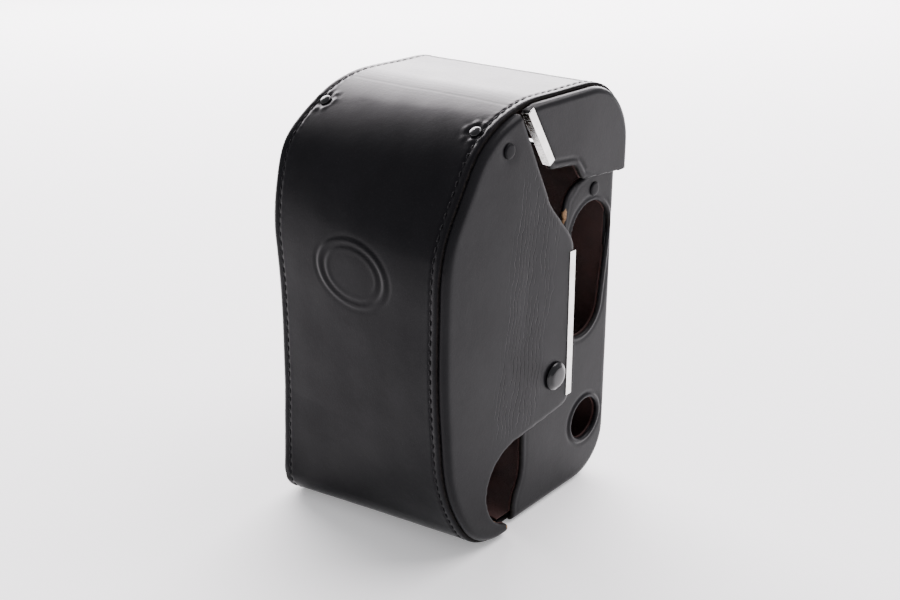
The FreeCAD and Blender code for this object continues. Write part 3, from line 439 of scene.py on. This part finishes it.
def strip_mesh(name, points, section_count, edge):
    """Closes rows of section points into a strip with flat ends."""
    rows = len(points) // section_count
    faces = []
    for row in range(rows - 1):
        first = row * section_count
        for i in range(section_count):
            j = (i + 1) % section_count
            faces.append((first + i, first + section_count + i, first + section_count + j, first + j))
    ends = [list(range(section_count)), list(range((rows - 1) * section_count, rows * section_count))]
    data = bpy.data.meshes.new(name)
    data.from_pydata((np.asarray(points) * MM).tolist(), [], faces + ends)
    paint(data, "edge", edge)
    paint(data, "rub", np.zeros(len(points)))
    shell = bmesh.new()
    shell.from_mesh(data)
    bmesh.ops.recalc_face_normals(shell, faces=shell.faces)
    bmesh.ops.triangulate(shell, faces=[f for f in shell.faces if len(f.verts) > 4])
    shell.to_mesh(data)
    shell.free()
    return data


section = band_section(46.4, 2.0, 0.55, 134)
steps = np.arange(len(left_places), dtype=float)
grid_step = np.repeat(steps, len(section))
grid_x = np.tile(section[:, 0], len(steps))
grid_depth = np.tile(section[:, 1], len(steps))
grid_face = np.tile(section[:, 2], len(steps))
share = (grid_x + 46.5) / 93.0
grid_run = np.interp(grid_step, steps, left_run) * share
grid_run = grid_run + np.interp(grid_step, steps, right_run) * (1 - share)
flat_points = on_band(grid_step, grid_x, grid_depth)
sunk = band_depth(flat_points, grid_run, grid_x)
sunk = sunk * grid_face
end_near = np.minimum(grid_step, len(steps) - 1 - grid_step)
sunk = sunk + grid_face * np.where(end_near < 0.5, 0.7, np.where(end_near < 1.5, 0.12, 0.0))
band_points = slouched(on_band(grid_step, grid_x, grid_depth + sunk))
band_points[:, 2] = np.maximum(band_points[:, 2], 0.02)
raw = np.clip(1.0 - grid_face * 1.25, 0, 1) * (grid_depth < 1.9)
band_leather = leather("band_leather", 0.34, 0.6, 0.035)
band_data = strip_mesh("cover_band", band_points, len(section), np.maximum(raw, end_near < 0.5))
cover_band = finish_mesh("cover_band", band_data, band_leather)
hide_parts("front_cover_band", "top_cover_band")
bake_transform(cover_band)

# ---------------------------------------------------------------------------------------
# The cover's stitching: waxed black thread, 0.8 mm thick, four millimetres to a stitch,
# along a channel near each edge of the band. Each stitch dips into its two holes.
# ---------------------------------------------------------------------------------------


def thread(name, roughness=0.42):
    """Waxed linen thread."""
    waxed = Finish(name, Specular_IOR_Level=0.12)
    fibre = waxed.noise(2600.0, 2.0)
    waxed.feed(
        Base_Color=waxed.mix(fibre, rgb(0.003, 0.003, 0.0035), rgb(0.011, 0.010, 0.012)),
        Roughness=fibre * 0.25 + roughness,
    )
    waxed.relief(fibre * 0.00006)
    return waxed.material


def stitches(name, surface, lengths, seams, material):
    """Stitches along each seam: surface(distance, seam, depth) gives points, in millimetres."""
    dice = random.Random(5)
    vertices, faces, sides, rings = [], [], 6, 7
    for seam in seams:
        at = 3.0
        while at < lengths[seam] - 4.0:
            half = 1.45 + dice.uniform(-0.12, 0.12)
            lean = dice.uniform(-0.12, 0.12)
            first = len(vertices)
            for i in range(rings):
                t = 2 * i / (rings - 1) - 1
                depth = 0.02 + 0.62 * abs(t) ** 3
                centre, out, across = surface(at + half * t, seam, depth, lean * t)
                radius = 0.31 * (0.75 if abs(t) > 0.9 else 1.0)
                for k in range(sides):
                    angle = 2 * math.pi * k / sides
                    point = centre + radius * (math.cos(angle) * out * 0.8 + math.sin(angle) * across)
                    vertices.append(point * MM)
            for i in range(rings - 1):
                for k in range(sides):
                    a, b = first + i * sides + k, first + i * sides + (k + 1) % sides
                    faces.append((a, b, b + sides, a + sides))
            faces.append(tuple(first + k for k in range(sides)))
            faces.append(tuple(first + (rings - 1) * sides + k for k in reversed(range(sides))))
            at += STITCH
    data = bpy.data.meshes.new(name)
    data.from_pydata([tuple(v) for v in vertices], [], faces)
    shell = bmesh.new()
    shell.from_mesh(data)
    bmesh.ops.recalc_face_normals(shell, faces=shell.faces)
    shell.to_mesh(data)
    shell.free()
    return finish_mesh(name, data, material)


def cover_seam(distance, side, depth, aside):
    share = (side * SEAM_X + 46.5) / 93.0
    run = left_run * share + right_run * (1 - share)
    step = np.interp(distance, run, steps)
    x = side * SEAM_X + aside
    centre = slouched(on_band(step, x, depth))
    out = centre - slouched(on_band(step, x, depth + 1.0))
    return centre, out, np.array([1.0, 0.0, 0.0])


black_thread = thread("black_thread")
cover_lengths = {
    side: left_run[-1] * (0.5 + side * 0.465) + right_run[-1] * (0.5 - side * 0.465) for side in (1, -1)
}
cover_stitches = stitches("cover_stitches", cover_seam, cover_lengths, (1, -1), black_thread)
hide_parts("front_cover_seam_thread", "top_cover_seam_thread")
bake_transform(cover_stitches)

# ---------------------------------------------------------------------------------------
# The cover's side pans: leather wet-moulded over a block, so that the face is flat and its
# rim rolls over to a flange under the band. The free edges are cut, pared and dyed.
# ---------------------------------------------------------------------------------------


def to_line(points, corners):
    """Distance in the side view from points to a line through corners, in millimetres."""
    flat, best = points[:, 1:], None
    for start, end in zip(corners[:-1], corners[1:]):
        start, end = np.array(start, float), np.array(end, float)
        share = np.clip((flat - start) @ (end - start) / ((end - start) @ (end - start)), 0, 1)
        away = np.linalg.norm(flat - start - share[:, None] * (end - start), axis=1)
        best = away if best is None else np.minimum(best, away)
    return best


def moulded(name, node, grain, sink, cut_edges, rubs, material):
    """A softened copy of a CAD leather. sink(points) presses its outer face in, in millimetres."""
    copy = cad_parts[node].data.copy()
    welded = bmesh.new()
    welded.from_mesh(copy)
    bmesh.ops.remove_doubles(welded, verts=welded.verts, dist=1e-6)
    welded.to_mesh(copy)
    welded.free()
    block = bpy.data.objects.new(name + "_block", copy)
    bpy.context.scene.collection.objects.link(block)
    even = block.modifiers.new("even", "REMESH")
    even.mode, even.voxel_size = "VOXEL", grain * MM
    bpy.context.view_layer.update()
    data = bpy.data.meshes.new_from_object(block.evaluated_get(bpy.context.evaluated_depsgraph_get()))
    data.name = name
    bpy.data.objects.remove(block)
    count = len(data.vertices)
    points = np.zeros(count * 3)
    data.vertices.foreach_get("co", points)
    points = points.reshape(-1, 3) / MM
    pairs = np.zeros(len(data.edges) * 2, int)
    data.edges.foreach_get("vertices", pairs)
    pairs = pairs.reshape(-1, 2)
    degree = np.bincount(pairs.ravel(), minlength=count)[:, None]
    # The steps that an even mesh leaves on slanting edges are smoothed out without shrinking it.
    for factor in (0.6, -0.62) * 4:
        total = np.zeros_like(points)
        np.add.at(total, pairs[:, 0], points[pairs[:, 1]])
        np.add.at(total, pairs[:, 1], points[pairs[:, 0]])
        points += factor * (total / degree - points)
    data.vertices.foreach_set("co", (points * MM).ravel())
    data.update()
    normals = np.zeros(count * 3)
    data.vertices.foreach_get("normal", normals)
    normals = normals.reshape(-1, 3)
    side = np.sign(points[:, :1])
    outward = np.clip(normals[:, :1] * side, 0, 1)
    pressed = sink(points)[:, None] * outward**2
    points = points - normals * pressed
    if node.startswith("front_cover"):
        points = slouched(points)
    data.vertices.foreach_set("co", (points * MM).ravel())
    away = to_line(points, cut_edges[0])
    for line in cut_edges[1:]:
        away = np.minimum(away, to_line(points, line))
    paint(data, "edge", np.clip(1.6 - away / 0.8, 0, 1) * np.clip(1.5 - 1.6 * outward[:, 0], 0, 1))
    rub = np.zeros(count)
    for y, z, reach in rubs:
        near = hump(np.hypot(points[:, 1] - y, points[:, 2] - z), reach)
        rub = np.maximum(rub, near * np.clip(1.3 - away / 1.6, 0, 1))
    paint(data, "rub", rub)
    made = finish_mesh(name, data, material)
    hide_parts(node)
    return made


def side_creases(hide):
    """A bundle of fine slanting creases down the side, where the leather has flexed for years."""
    _, y, z = hide.axes()
    wander = (hide.noise(30.0, 2.0) - 0.5) * 9.0 + (hide.noise(130.0, 3.0) - 0.5) * 4.6
    slant = (y - z * 0.17) * 1000.0 + wander + 23.0
    bundle = slant.between(-19.0, -10.0) * (1.0 - slant.between(8.0, 14.0))
    span = (z * 1000.0).between(44.0, 66.0) * (1.0 - (z * 1000.0).between(146.0, 164.0))
    stretched = hide.node("VectorMath", {"operation": "MULTIPLY"}, [hide.place, (1.0, 3.2, 0.55)])
    broken = hide.noise(75.0, 2.0, stretched).between(0.36, 0.56)
    valleys = 1.0 - abs((slant * 1.26).maths("SINE")).between(0.0, 0.34)
    return valleys * bundle * span * broken * -0.00036


FRONT_FREE = [(-18.5, 0), (-18.5, 3.6), (-19.4, 5.4), (-21.6, 6.8), (-27.5, 12.5), (-30.5, 20.0)]
FRONT_FREE += [(-30.0, 28.0), (-27.0, 35.5), (-22.5, 40.5), (-16.6, 44.0), (15.0, 47.4), (20.1, 49.2)]
FRONT_FREE += [(22.1, 53.8), (22.1, 117.0), (21.4, 121.6), (18.8, 126.0), (7.2, 139.2), (5.2, 142.2)]
FRONT_FREE += [(3.7, 145.6), (-14.2, 183.0)]
SIDE_RIVET, SNAP = (-20.4, 168.2), (11.0, 64.4)


def front_sink(points):
    """Dimples at the rivet and the snap, a pared free edge, and soft unevenness."""
    y, z = points[:, 1], points[:, 2]
    rivet = np.hypot(y - SIDE_RIVET[0], z - SIDE_RIVET[1])
    snap = np.hypot(y - SNAP[0], z - SNAP[1])
    away = to_line(points, FRONT_FREE)
    sink = 0.45 * hump(rivet, 4.2) + 0.30 * hump(snap, 7.4)
    sink += 0.35 * hump(away, 0.9)
    slant = y - 0.17 * z + 10.0
    sink += 0.10 * hump(slant + 16.0, 5.0) * hump(z - 98.0, 40.0)
    return sink - 0.16 * ripple(points, 11, (60.0, 34.0))


pan_leather = leather("pan_leather", 0.40, 0.35, 0.078, side_creases)
for side in ("left", "right"):
    front_side = moulded(
        f"front_side_{side}",
        f"front_cover_side_{side}",
        0.8,
        front_sink,
        [FRONT_FREE],
        [(-18.6, 3.0, 4.0)],
        pan_leather,
    )
    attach(front_side, "front_cover")

TOP_FREE = [(-14.0, 187.5), (-11.0, 182.4), (4.2, 157.0), (5.2, 155.6), (6.4, 155.2), (19.2, 153.9)]
TOP_FREE += [(21.4, 153.2), (23.2, 151.3), (25.6, 148.0), (26.8, 146.9), (28.6, 146.4), (64.0, 129.3)]


def top_sink(points):
    """A line pressed along the free edge, and the pared edge itself."""
    away = to_line(points, TOP_FREE)
    return 0.38 * hump(away - 3.1, 0.75) + 0.5 * hump(away, 0.8) - 0.08 * ripple(points, 17, (40.0, 22.0))


flap_leather = leather("flap_leather", 0.40, 0.35, 0.09)
for side in ("left", "right"):
    top_side = moulded(
        f"top_side_{side}", f"top_cover_side_{side}", 0.6, top_sink, [TOP_FREE], [], flap_leather
    )
    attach(top_side, "top_cover")

# ---------------------------------------------------------------------------------------
# The half case: a band of leather for base and back, and two moulded side pans with a long
# window and a round hole each, whose rims are pressed.
# ---------------------------------------------------------------------------------------


def half_line():
    """The half case's band from the fold back, round the corner and up, as (Y, Z) and outward."""
    line = Outline()
    line.line((-18.2, 0.0), (34.8, 0.0), below, below, 70)
    line.arc((34.8, 22.0), 22.0, -90, 0, 44)
    line.line((56.8, 22.0), (56.8, 147.6), behind, behind, 150)
    line.places.append(np.array((56.8, 147.6)))
    line.outward.append(np.array(behind))
    return np.array(line.places), np.array(line.outward)


half_places, half_outward = half_line()
half_run = np.concatenate([[0], np.cumsum(np.linalg.norm(np.diff(half_places, axis=0), axis=1))])
HALF_SEAM_X = 38.6


def on_half(step, x, depth):
    step, x, depth = np.broadcast_arrays(np.asarray(step, float), x, depth)
    low = np.clip(np.floor(step).astype(int), 0, len(half_places) - 2)
    part = (step - low)[..., None]
    place = half_places[low] * (1 - part) + half_places[low + 1] * part
    outward = half_outward[low] * (1 - part) + half_outward[low + 1] * part
    return np.concatenate([x[..., None], place - outward * depth[..., None]], axis=-1)


half_section = band_section(41.8, 2.0, 0.55, 96)
half_steps = np.arange(len(half_places), dtype=float)
grid_step = np.repeat(half_steps, len(half_section))
grid_x = np.tile(half_section[:, 0], len(half_steps))
grid_depth = np.tile(half_section[:, 1], len(half_steps))
grid_face = np.tile(half_section[:, 2], len(half_steps))
grid_run = np.interp(grid_step, half_steps, half_run)
flat_points = on_half(grid_step, grid_x, grid_depth)
pull = 0.34 + 0.14 * np.cos(2 * math.pi * grid_run / STITCH)
sunk = pull * hump(np.abs(grid_x) - HALF_SEAM_X, 0.52)
sunk = sunk - 0.12 * ripple(flat_points, 23) * (flat_points[:, 2] > 3)
end_near = np.minimum(grid_step, len(half_steps) - 1 - grid_step)
sunk = grid_face * (np.maximum(sunk, 0) + np.where(end_near < 0.5, 0.7, np.where(end_near < 1.5, 0.12, 0.0)))
raw = np.clip(1.0 - grid_face * 1.25, 0, 1) * (grid_depth < 1.9)
half_points = on_half(grid_step, grid_x, grid_depth + sunk)
half_data = strip_mesh("half_band", half_points, len(half_section), np.maximum(raw, end_near < 0.5))
# The base is punched for the screw's cup, and drilled and countersunk for the cup's rivets.
SCREW_Y, CUP_HOLE, RIVET_CIRCLE, COUNTERSINK, DRILL = 8.0, 11.2, 14.7, 2.3, 1.3
SINK_DEPTH, THROUGH, BELOW = 0.9, 10.0, 1.0
rivet_turns = [math.radians(turn) for turn in (90, 210, 330)]
rivets = [(RIVET_CIRCLE * math.cos(turn), SCREW_Y + RIVET_CIRCLE * math.sin(turn)) for turn in rivet_turns]
punches = [
    [(0.0, SCREW_Y, CUP_HOLE, THROUGH)] + [(x, y, COUNTERSINK, SINK_DEPTH) for x, y in rivets],
    [(x, y, DRILL, THROUGH) for x, y in rivets],
]
uncut = bpy.data.objects.new("half_band_uncut", half_data)
bpy.context.scene.collection.objects.link(uncut)
cutters = []
for number, holes in enumerate(punches):
    punch = bmesh.new()
    for x, y, radius, high in holes:
        middle = Matrix.Translation(Vector((x, y, (high - BELOW) / 2)) * MM)
        bmesh.ops.create_cone(
            punch,
            cap_ends=True,
            segments=72,
            radius1=radius * MM,
            radius2=radius * MM,
            depth=(high + BELOW) * MM,
            matrix=middle,
        )
    punch_data = bpy.data.meshes.new(f"punch_{number}")
    punch.to_mesh(punch_data)
    punch.free()
    cutter = bpy.data.objects.new(f"punch_{number}", punch_data)
    bpy.context.scene.collection.objects.link(cutter)
    cut = uncut.modifiers.new(f"punch_{number}", "BOOLEAN")
    cut.operation, cut.solver, cut.object = "DIFFERENCE", "EXACT", cutter
    cutters.append(cutter)
bpy.context.view_layer.update()
half_data = bpy.data.meshes.new_from_object(uncut.evaluated_get(bpy.context.evaluated_depsgraph_get()))
half_data.name = "half_band"
for spent in [uncut, *cutters]:
    bpy.data.objects.remove(spent)
half_band = finish_mesh("half_band", half_data, band_leather)
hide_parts("half_case_band")
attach(half_band, "half_case")


def half_seam(distance, side, depth, aside):
    step = np.interp(distance, half_run, half_steps)
    x = side * HALF_SEAM_X + aside
    centre = on_half(step, x, depth)
    return centre, centre - on_half(step, x, depth + 1.0), np.array([1.0, 0.0, 0.0])


half_lengths = {1: half_run[-1], -1: half_run[-1]}
half_stitches = stitches("half_case_stitches", half_seam, half_lengths, (1, -1), black_thread)
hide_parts("half_case_seam_thread")
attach(half_stitches, "half_case")

HALF_FREE = [(-10.8, 0), (-10.8, 8.0), (-10.0, 12.0), (-8.2, 16.0), (-6.0, 21.6), (-5.0, 28.0)]
HALF_FREE += [(-5.0, 42.0), (19.6, 125.6), (20.3, 130.0), (22.6, 138.0), (29.6, 143.9), (42.0, 147.6)]
HALF_FREE += [(60.0, 147.6)]


def to_window(points):
    """Distance outwards from the long window's edge."""
    lean = math.radians(8.0)
    y, z = points[:, 1] - 37.0, points[:, 2] - 103.4
    along = np.clip(z * math.cos(lean) + y * math.sin(lean), -16.5, 16.5)
    return np.hypot(y - along * math.sin(lean), z - along * math.cos(lean)) - 13.5


def half_sink(points):
    """Pressed rims round the window and the round hole, and a pared free edge."""
    window = to_window(points)
    hole = np.hypot(points[:, 1] - 39.9, points[:, 2] - 30.4) - 9.8
    away = to_line(points, HALF_FREE)
    sink = -0.30 * hump(window - 0.9, 0.7) + 0.32 * hump(window - 2.3, 0.8) + 0.25 * hump(window, 0.5)
    sink += 0.35 * hump(hole - 2.6, 0.8) + 0.3 * hump(away, 0.8) + 0.10 * hump(away - 2.6, 0.7)
    return sink - 0.10 * ripple(points, 29, (50.0, 28.0))


WINDOW_RIM = [
    (
        37.0 + math.sin(math.radians(8)) * 16.5 * s + 13.5 * math.cos(a),
        103.4 + math.cos(math.radians(8)) * 16.5 * s + 13.5 * math.sin(a),
    )
    for s, a in [(1 if 0 <= k < 18 else -1, math.radians(k * 10 - 8)) for k in range(37)]
]
half_leather = leather("half_case_leather", 0.42, 0.3, 0.085)
for side in ("left", "right"):
    half_side = moulded(
        f"half_side_{side}",
        f"half_case_side_{side}",
        0.75,
        half_sink,
        [HALF_FREE, WINDOW_RIM],
        [(18.4, 125.0, 5.0), (19.6, 131.5, 4.5)],
        half_leather,
    )
    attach(half_side, "half_case")

# ---------------------------------------------------------------------------------------
# Linings: thin cotton plush, dark maroon, glued inside every leather. The nap lies in
# patches, so that it shows lighter and darker.
# ---------------------------------------------------------------------------------------

plush = Finish("maroon_plush", Sheen_Weight=0.12, Sheen_Roughness=0.5, Sheen_Tint=rgb(0.8, 0.35, 0.3))
nap = plush.noise(70.0, 3.0)
pile = plush.noise(2400.0, 2.0)
plush.feed(
    Base_Color=plush.mix(
        nap.between(0.3, 0.7) * 0.7 + pile * 0.3, rgb(0.007, 0.0015, 0.0011), rgb(0.027, 0.0055, 0.0035)
    ),
    Roughness=pile * 0.15 + 0.82,
)
plush.relief((pile - 0.5) * 0.00035 + nap * 0.0002)
lining_section = [(x, 2.1) for x in np.linspace(-33.2, 33.2, 41)]
lining_section += [(x, 2.6) for x in np.linspace(33.2, -33.2, 41)]
lining_section = np.array(lining_section)
grid_step = np.repeat(steps[::2], len(lining_section))
grid_x = np.tile(lining_section[:, 0], len(steps[::2]))
grid_depth = np.tile(lining_section[:, 1], len(steps[::2]))
lining_points = slouched(on_band(grid_step, grid_x, grid_depth))
no_edge = np.zeros(len(lining_points))
lining_data = strip_mesh("cover_band_lining", lining_points, len(lining_section), no_edge)
cover_lining = finish_mesh("cover_band_lining", lining_data, plush.material)
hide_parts("front_cover_band_lining", "top_cover_band_lining")
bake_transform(cover_lining)
for name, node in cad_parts.items():
    if "lining" in name:
        node.data.materials.clear()
        node.data.materials.append(plush.material)

# ---------------------------------------------------------------------------------------
# The fold under the toe: a thin leather strip glued inside across the hinge line, which keeps
# the two leathers together. On the real case it bends as the cover falls forward; here it is
# made flat, as it lies when the case is shut.
# ---------------------------------------------------------------------------------------

fold_rows = []
for y in np.linspace(-24.5, -12.5, 25):
    for x, z in ((-37.5, 0.62), (37.5, 0.62), (37.6, 1.1), (37.5, 1.58), (-37.5, 1.58), (-37.6, 1.1)):
        fold_rows.append((x, y, z))
fold_data = strip_mesh("fold_strip", np.array(fold_rows), 6, np.zeros(len(fold_rows)))
fold_strip = finish_mesh("fold_strip", fold_data, band_leather)
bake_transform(fold_strip)

# ---------------------------------------------------------------------------------------
# Base board: grey-brown millboard glued under the camera's seat to keep the base flat.
# ---------------------------------------------------------------------------------------


def softened(name, node, width, material, body):
    """A merged copy of a CAD node with its sharp edges rounded to that width, in millimetres."""
    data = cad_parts[node].data.copy()
    data.name = name
    shape = bmesh.new()
    shape.from_mesh(data)
    bmesh.ops.remove_doubles(shape, verts=shape.verts, dist=1e-6)
    bmesh.ops.dissolve_limit(shape, angle_limit=math.radians(0.5), verts=shape.verts, edges=shape.edges)
    sharp = [e for e in shape.edges if len(e.link_faces) == 2 and e.calc_face_angle(0) > math.radians(35)]
    bmesh.ops.bevel(
        shape,
        geom=sharp,
        offset=width * MM,
        offset_type="OFFSET",
        affect="EDGES",
        segments=3,
        profile=0.5,
        material=-1,
        clamp_overlap=True,
    )
    bmesh.ops.recalc_face_normals(shape, faces=shape.faces)
    bmesh.ops.triangulate(shape, faces=[f for f in shape.faces if len(f.verts) > 4])
    shape.to_mesh(data)
    shape.free()
    made = finish_mesh(name, data, material)
    shading = made.modifiers.new("flat_faces", "WEIGHTED_NORMAL")
    shading.keep_sharp = False
    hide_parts(node)
    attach(made, body)
    return made


board = Finish("millboard")
flecks = board.noise(900.0, 4.0)
board.feed(
    Base_Color=board.mix(flecks, rgb(0.16, 0.12, 0.085), rgb(0.30, 0.245, 0.18)),
    Roughness=flecks * 0.2 + 0.75,
)
board.relief(flecks * 0.0001)
softened("base_millboard", "base_board", 0.3, board.material, "half_case")

# ---------------------------------------------------------------------------------------
# Metal: nickelled brass for the trims and the screw cup, plain brass inside, steel for the
# brackets, and black stove enamel on the snap caps and corner rivets.
# ---------------------------------------------------------------------------------------


def metal(name, dark, light, roughness, scratch=0.4):
    """A plated or bare metal with fine scratches and a little tarnish."""
    plate = Finish(name, Metallic=1.0)
    cloud = plate.noise(160.0, 4.0)
    stretched = plate.node(
        "VectorMath", {"operation": "MULTIPLY"}, [plate.place, (400.0, 400.0, 5200.0)]
    )
    hair = plate.noise(1.0, 2.0, stretched).between(0.5, 0.75)
    plate.feed(
        Base_Color=plate.mix(cloud.between(0.3, 0.7), dark, light),
        Roughness=(cloud - 0.5) * 0.10 + roughness + hair * scratch * 0.12,
    )
    plate.relief(hair * 0.000006 + cloud * 0.00002)
    return plate.material


def enamel(name, roughness, shine):
    """Black stove enamel, chipped to brass in a few specks."""
    coat = Finish(name, Specular_IOR_Level=shine, Coat_Weight=0.5, Coat_Roughness=0.08, Coat_IOR=1.1 + shine)
    cloud = coat.noise(300.0, 3.0)
    chips = coat.noise(1500.0, 2.0).between(0.74, 0.78)
    coat.feed(
        Base_Color=coat.mix(chips, rgb(0.003, 0.003, 0.004), rgb(0.05, 0.04, 0.03)),
        Roughness=cloud * 0.14 + roughness,
        Metallic=chips * 0.8,
    )
    coat.relief(cloud * 0.00004)
    return coat.material


nickel = metal("bright_nickel", rgb(0.72, 0.71, 0.68), rgb(0.88, 0.87, 0.85), 0.13)
brass = metal("old_brass", rgb(0.30, 0.20, 0.08), rgb(0.52, 0.37, 0.17), 0.32)
steel = metal("tinned_steel", rgb(0.30, 0.30, 0.30), rgb(0.48, 0.48, 0.47), 0.36)
black_enamel = enamel("black_enamel", 0.16, 0.2)
japanned = enamel("japanned_steel", 0.38, 0.12)

# Edge trims: channels folded from nickelled brass strip and squeezed over the cut edges.
softened("front_edge_trims", "front_cover_edge_trims", 0.14, nickel, "front_cover")
softened("top_edge_trims", "top_cover_edge_trims", 0.14, nickel, "top_cover")

# Corner brackets with their burrs, snap parts inside the case, and the screw in its cup.
softened("corner_bracket_pair", "corner_brackets", 0.2, japanned, "front_cover")
softened("band_rivet_burrs", "corner_band_rivet_burrs", 0.12, brass, "front_cover")
softened("side_rivet_burrs", "corner_side_rivet_burrs", 0.12, brass, "front_cover")
softened("lug_rivet_burrs", "half_case_side_rivet_burrs", 0.12, brass, "half_case")
softened("snap_socket_pair", "snap_sockets", 0.15, brass, "front_cover")
softened("snap_stud_pair", "snap_studs", 0.1, nickel, "half_case")
softened("snap_post_pair", "snap_posts", 0.12, brass, "half_case")
softened("pressed_cup", "screw_cup", 0.2, nickel, "half_case")
softened("cup_rivets", "screw_cup_rivets", 0.15, brass, "half_case")
softened("holding_screw", "base_screw", 0.2, nickel, "retaining_screw")
softened("retaining_ring", "screw_retaining_ring", 0.1, steel, "retaining_screw")

# ---------------------------------------------------------------------------------------
# Snap caps and rivet heads: turned or pressed brass domes under black enamel.
# ---------------------------------------------------------------------------------------


def spun(name, profile, seats, material, node, body):
    """Domes spun from a profile of (radius, height), each seated at (place, outward), in millimetres."""
    whole = bmesh.new()
    for place, outward in seats:
        part = bmesh.new()
        line = [part.verts.new((r * MM, 0.0, h * MM)) for r, h in profile]
        edges = [part.edges.new(pair) for pair in zip(line[:-1], line[1:])]
        bmesh.ops.spin(
            part,
            geom=line + edges,
            cent=(0, 0, 0),
            axis=(0, 0, 1),
            angle=2 * math.pi,
            steps=48,
            use_merge=True,
        )
        bmesh.ops.remove_doubles(part, verts=part.verts, dist=1e-7)
        turn = Vector((0, 0, 1)).rotation_difference(Vector(outward)).to_matrix().to_4x4()
        bmesh.ops.transform(part, matrix=Matrix.Translation(Vector(place) * MM) @ turn, verts=part.verts)
        bmesh.ops.recalc_face_normals(part, faces=part.faces)
        scratch = bpy.data.meshes.new(name + "_part")
        part.to_mesh(scratch)
        part.free()
        whole.from_mesh(scratch)
        bpy.data.meshes.remove(scratch)
    data = bpy.data.meshes.new(name)
    whole.to_mesh(data)
    whole.free()
    made = finish_mesh(name, data, material)
    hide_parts(node)
    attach(made, body)
    return made


def domed(radius, rim, crown, flat, stem, depth):
    """A dome's profile, from the tip of its stem round to the middle of its crown."""
    line = [(0, -depth), (stem, -depth), (stem, 0.0), (radius - 0.25, 0.0), (radius, 0.25)]
    line.append((radius, rim * 0.7))
    for i in range(1, 9):
        t = math.pi / 2 * i / 8
        line.append((flat + (radius - flat) * math.cos(t), rim * 0.7 + (crown - rim * 0.7) * math.sin(t)))
    line.append((flat * 0.5, crown + 0.05))
    return line + [(0, crown + 0.06)]


cap_base = 49.85
cap_profile = [(0, -1.0), (1.6, -1.0), (1.6, 0.0), (5.9, 0.0), (6.2, 0.2), (6.25, 0.6), (6.05, 1.05)]
cap_profile += [(5.6, 1.35), (5.1, 1.62), (4.6, 2.02), (4.0, 2.3), (3.0, 2.42), (1.5, 2.48), (0, 2.5)]
spun(
    "snap_cap_pair",
    cap_profile,
    [((s * cap_base, *SNAP), (s, 0, 0)) for s in (1, -1)],
    black_enamel,
    "snap_caps",
    "front_cover",
)
slope = math.hypot(-28.5 - shoulder[0], 175.6 - shoulder[1])
lean_y, lean_z = (-28.5 - shoulder[0]) / slope, (175.6 - shoulder[1]) / slope
seat_y, seat_z = shoulder[0] + 54.75 * lean_y, shoulder[1] + 54.75 * lean_z
spun(
    "band_rivet_heads",
    domed(2.4, 0.5, 1.4, 0.3, 1.4, 4.0),
    [((s * RIVET_AT, seat_y, seat_z), (0, lean_y, lean_z)) for s in (1, -1)],
    black_enamel,
    "corner_band_rivets",
    "front_cover",
)
flat_black = enamel("dull_black_enamel", 0.45, 0.05)
spun(
    "side_rivet_heads",
    domed(3.0, 0.4, 0.9, 1.9, 1.4, 4.0),
    [((s * 49.5, *SIDE_RIVET), (s, 0, 0)) for s in (1, -1)],
    flat_black,
    "corner_side_rivets",
    "front_cover",
)
spun(
    "lug_rivet_heads",
    domed(3.0, 0.4, 0.9, 1.7, 1.4, 3.0),
    [((s * 45.5, 40.4, 138.6), (s, 0, 0)) for s in (1, -1)],
    flat_black,
    "half_case_side_rivets",
    "half_case",
)

# ---------------------------------------------------------------------------------------
# Loose ends: the seam's thread is knotted off at the fold, and a few millimetres of it and
# its frayed strands stick out at the bottom of each side.
# ---------------------------------------------------------------------------------------


def strand(path, radius):
    """Vertices and faces of a thin round strand along points, in millimetres."""
    vertices, faces, sides = [], [], 6
    path = [np.array(p, float) for p in path]
    for i, centre in enumerate(path):
        way = path[min(i + 1, len(path) - 1)] - path[max(i - 1, 0)]
        way /= np.linalg.norm(way)
        first = np.cross(way, (0.1, 0.2, 1.0))
        first /= np.linalg.norm(first)
        second = np.cross(way, first)
        narrow = radius * (1.0 if i < len(path) - 2 else 0.6)
        for k in range(sides):
            angle = 2 * math.pi * k / sides
            vertices.append((centre + narrow * (math.cos(angle) * first + math.sin(angle) * second)) * MM)
    for i in range(len(path) - 1):
        for k in range(sides):
            a, b = i * sides + k, i * sides + (k + 1) % sides
            faces.append((a, b, b + sides, a + sides))
    faces.append(tuple(range(sides)))
    faces.append(tuple((len(path) - 1) * sides + k for k in reversed(range(sides))))
    return vertices, faces


dice = random.Random(9)
for side, name in ((1, "left"), (-1, "right")):
    vertices, faces = [], []
    for length, radius, heading in ((6.5, 0.32, 2.6), (5.0, 0.13, 1.9), (6.0, 0.10, 1.2), (4.0, 0.12, 2.9)):
        at = np.array([side * (SEAM_X + 0.3), -21.5 - dice.uniform(0, 1.5), 0.75])
        points = [at.copy()]
        for _ in range(9):
            heading += dice.uniform(-0.5, 0.5)
            step = np.array([side * abs(math.cos(heading)) * 0.35, -abs(math.sin(heading)) * 0.9, 0.0])
            at = at + step * length / 9
            at[2] = max(radius + 0.05, at[2] - 0.12 + dice.uniform(-0.05, 0.1))
            points.append(at.copy())
        base = len(vertices)
        more, sides = strand(points, radius)
        vertices += more
        faces += [tuple(i + base for i in face) for face in sides]
    data = bpy.data.meshes.new(f"thread_ends_{name}")
    data.from_pydata([tuple(v) for v in vertices], [], faces)
    shell = bmesh.new()
    shell.from_mesh(data)
    bmesh.ops.recalc_face_normals(shell, faces=shell.faces)
    shell.to_mesh(data)
    shell.free()
    ends = finish_mesh(f"thread_ends_{name}", data, black_thread)
    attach(ends, "front_cover")
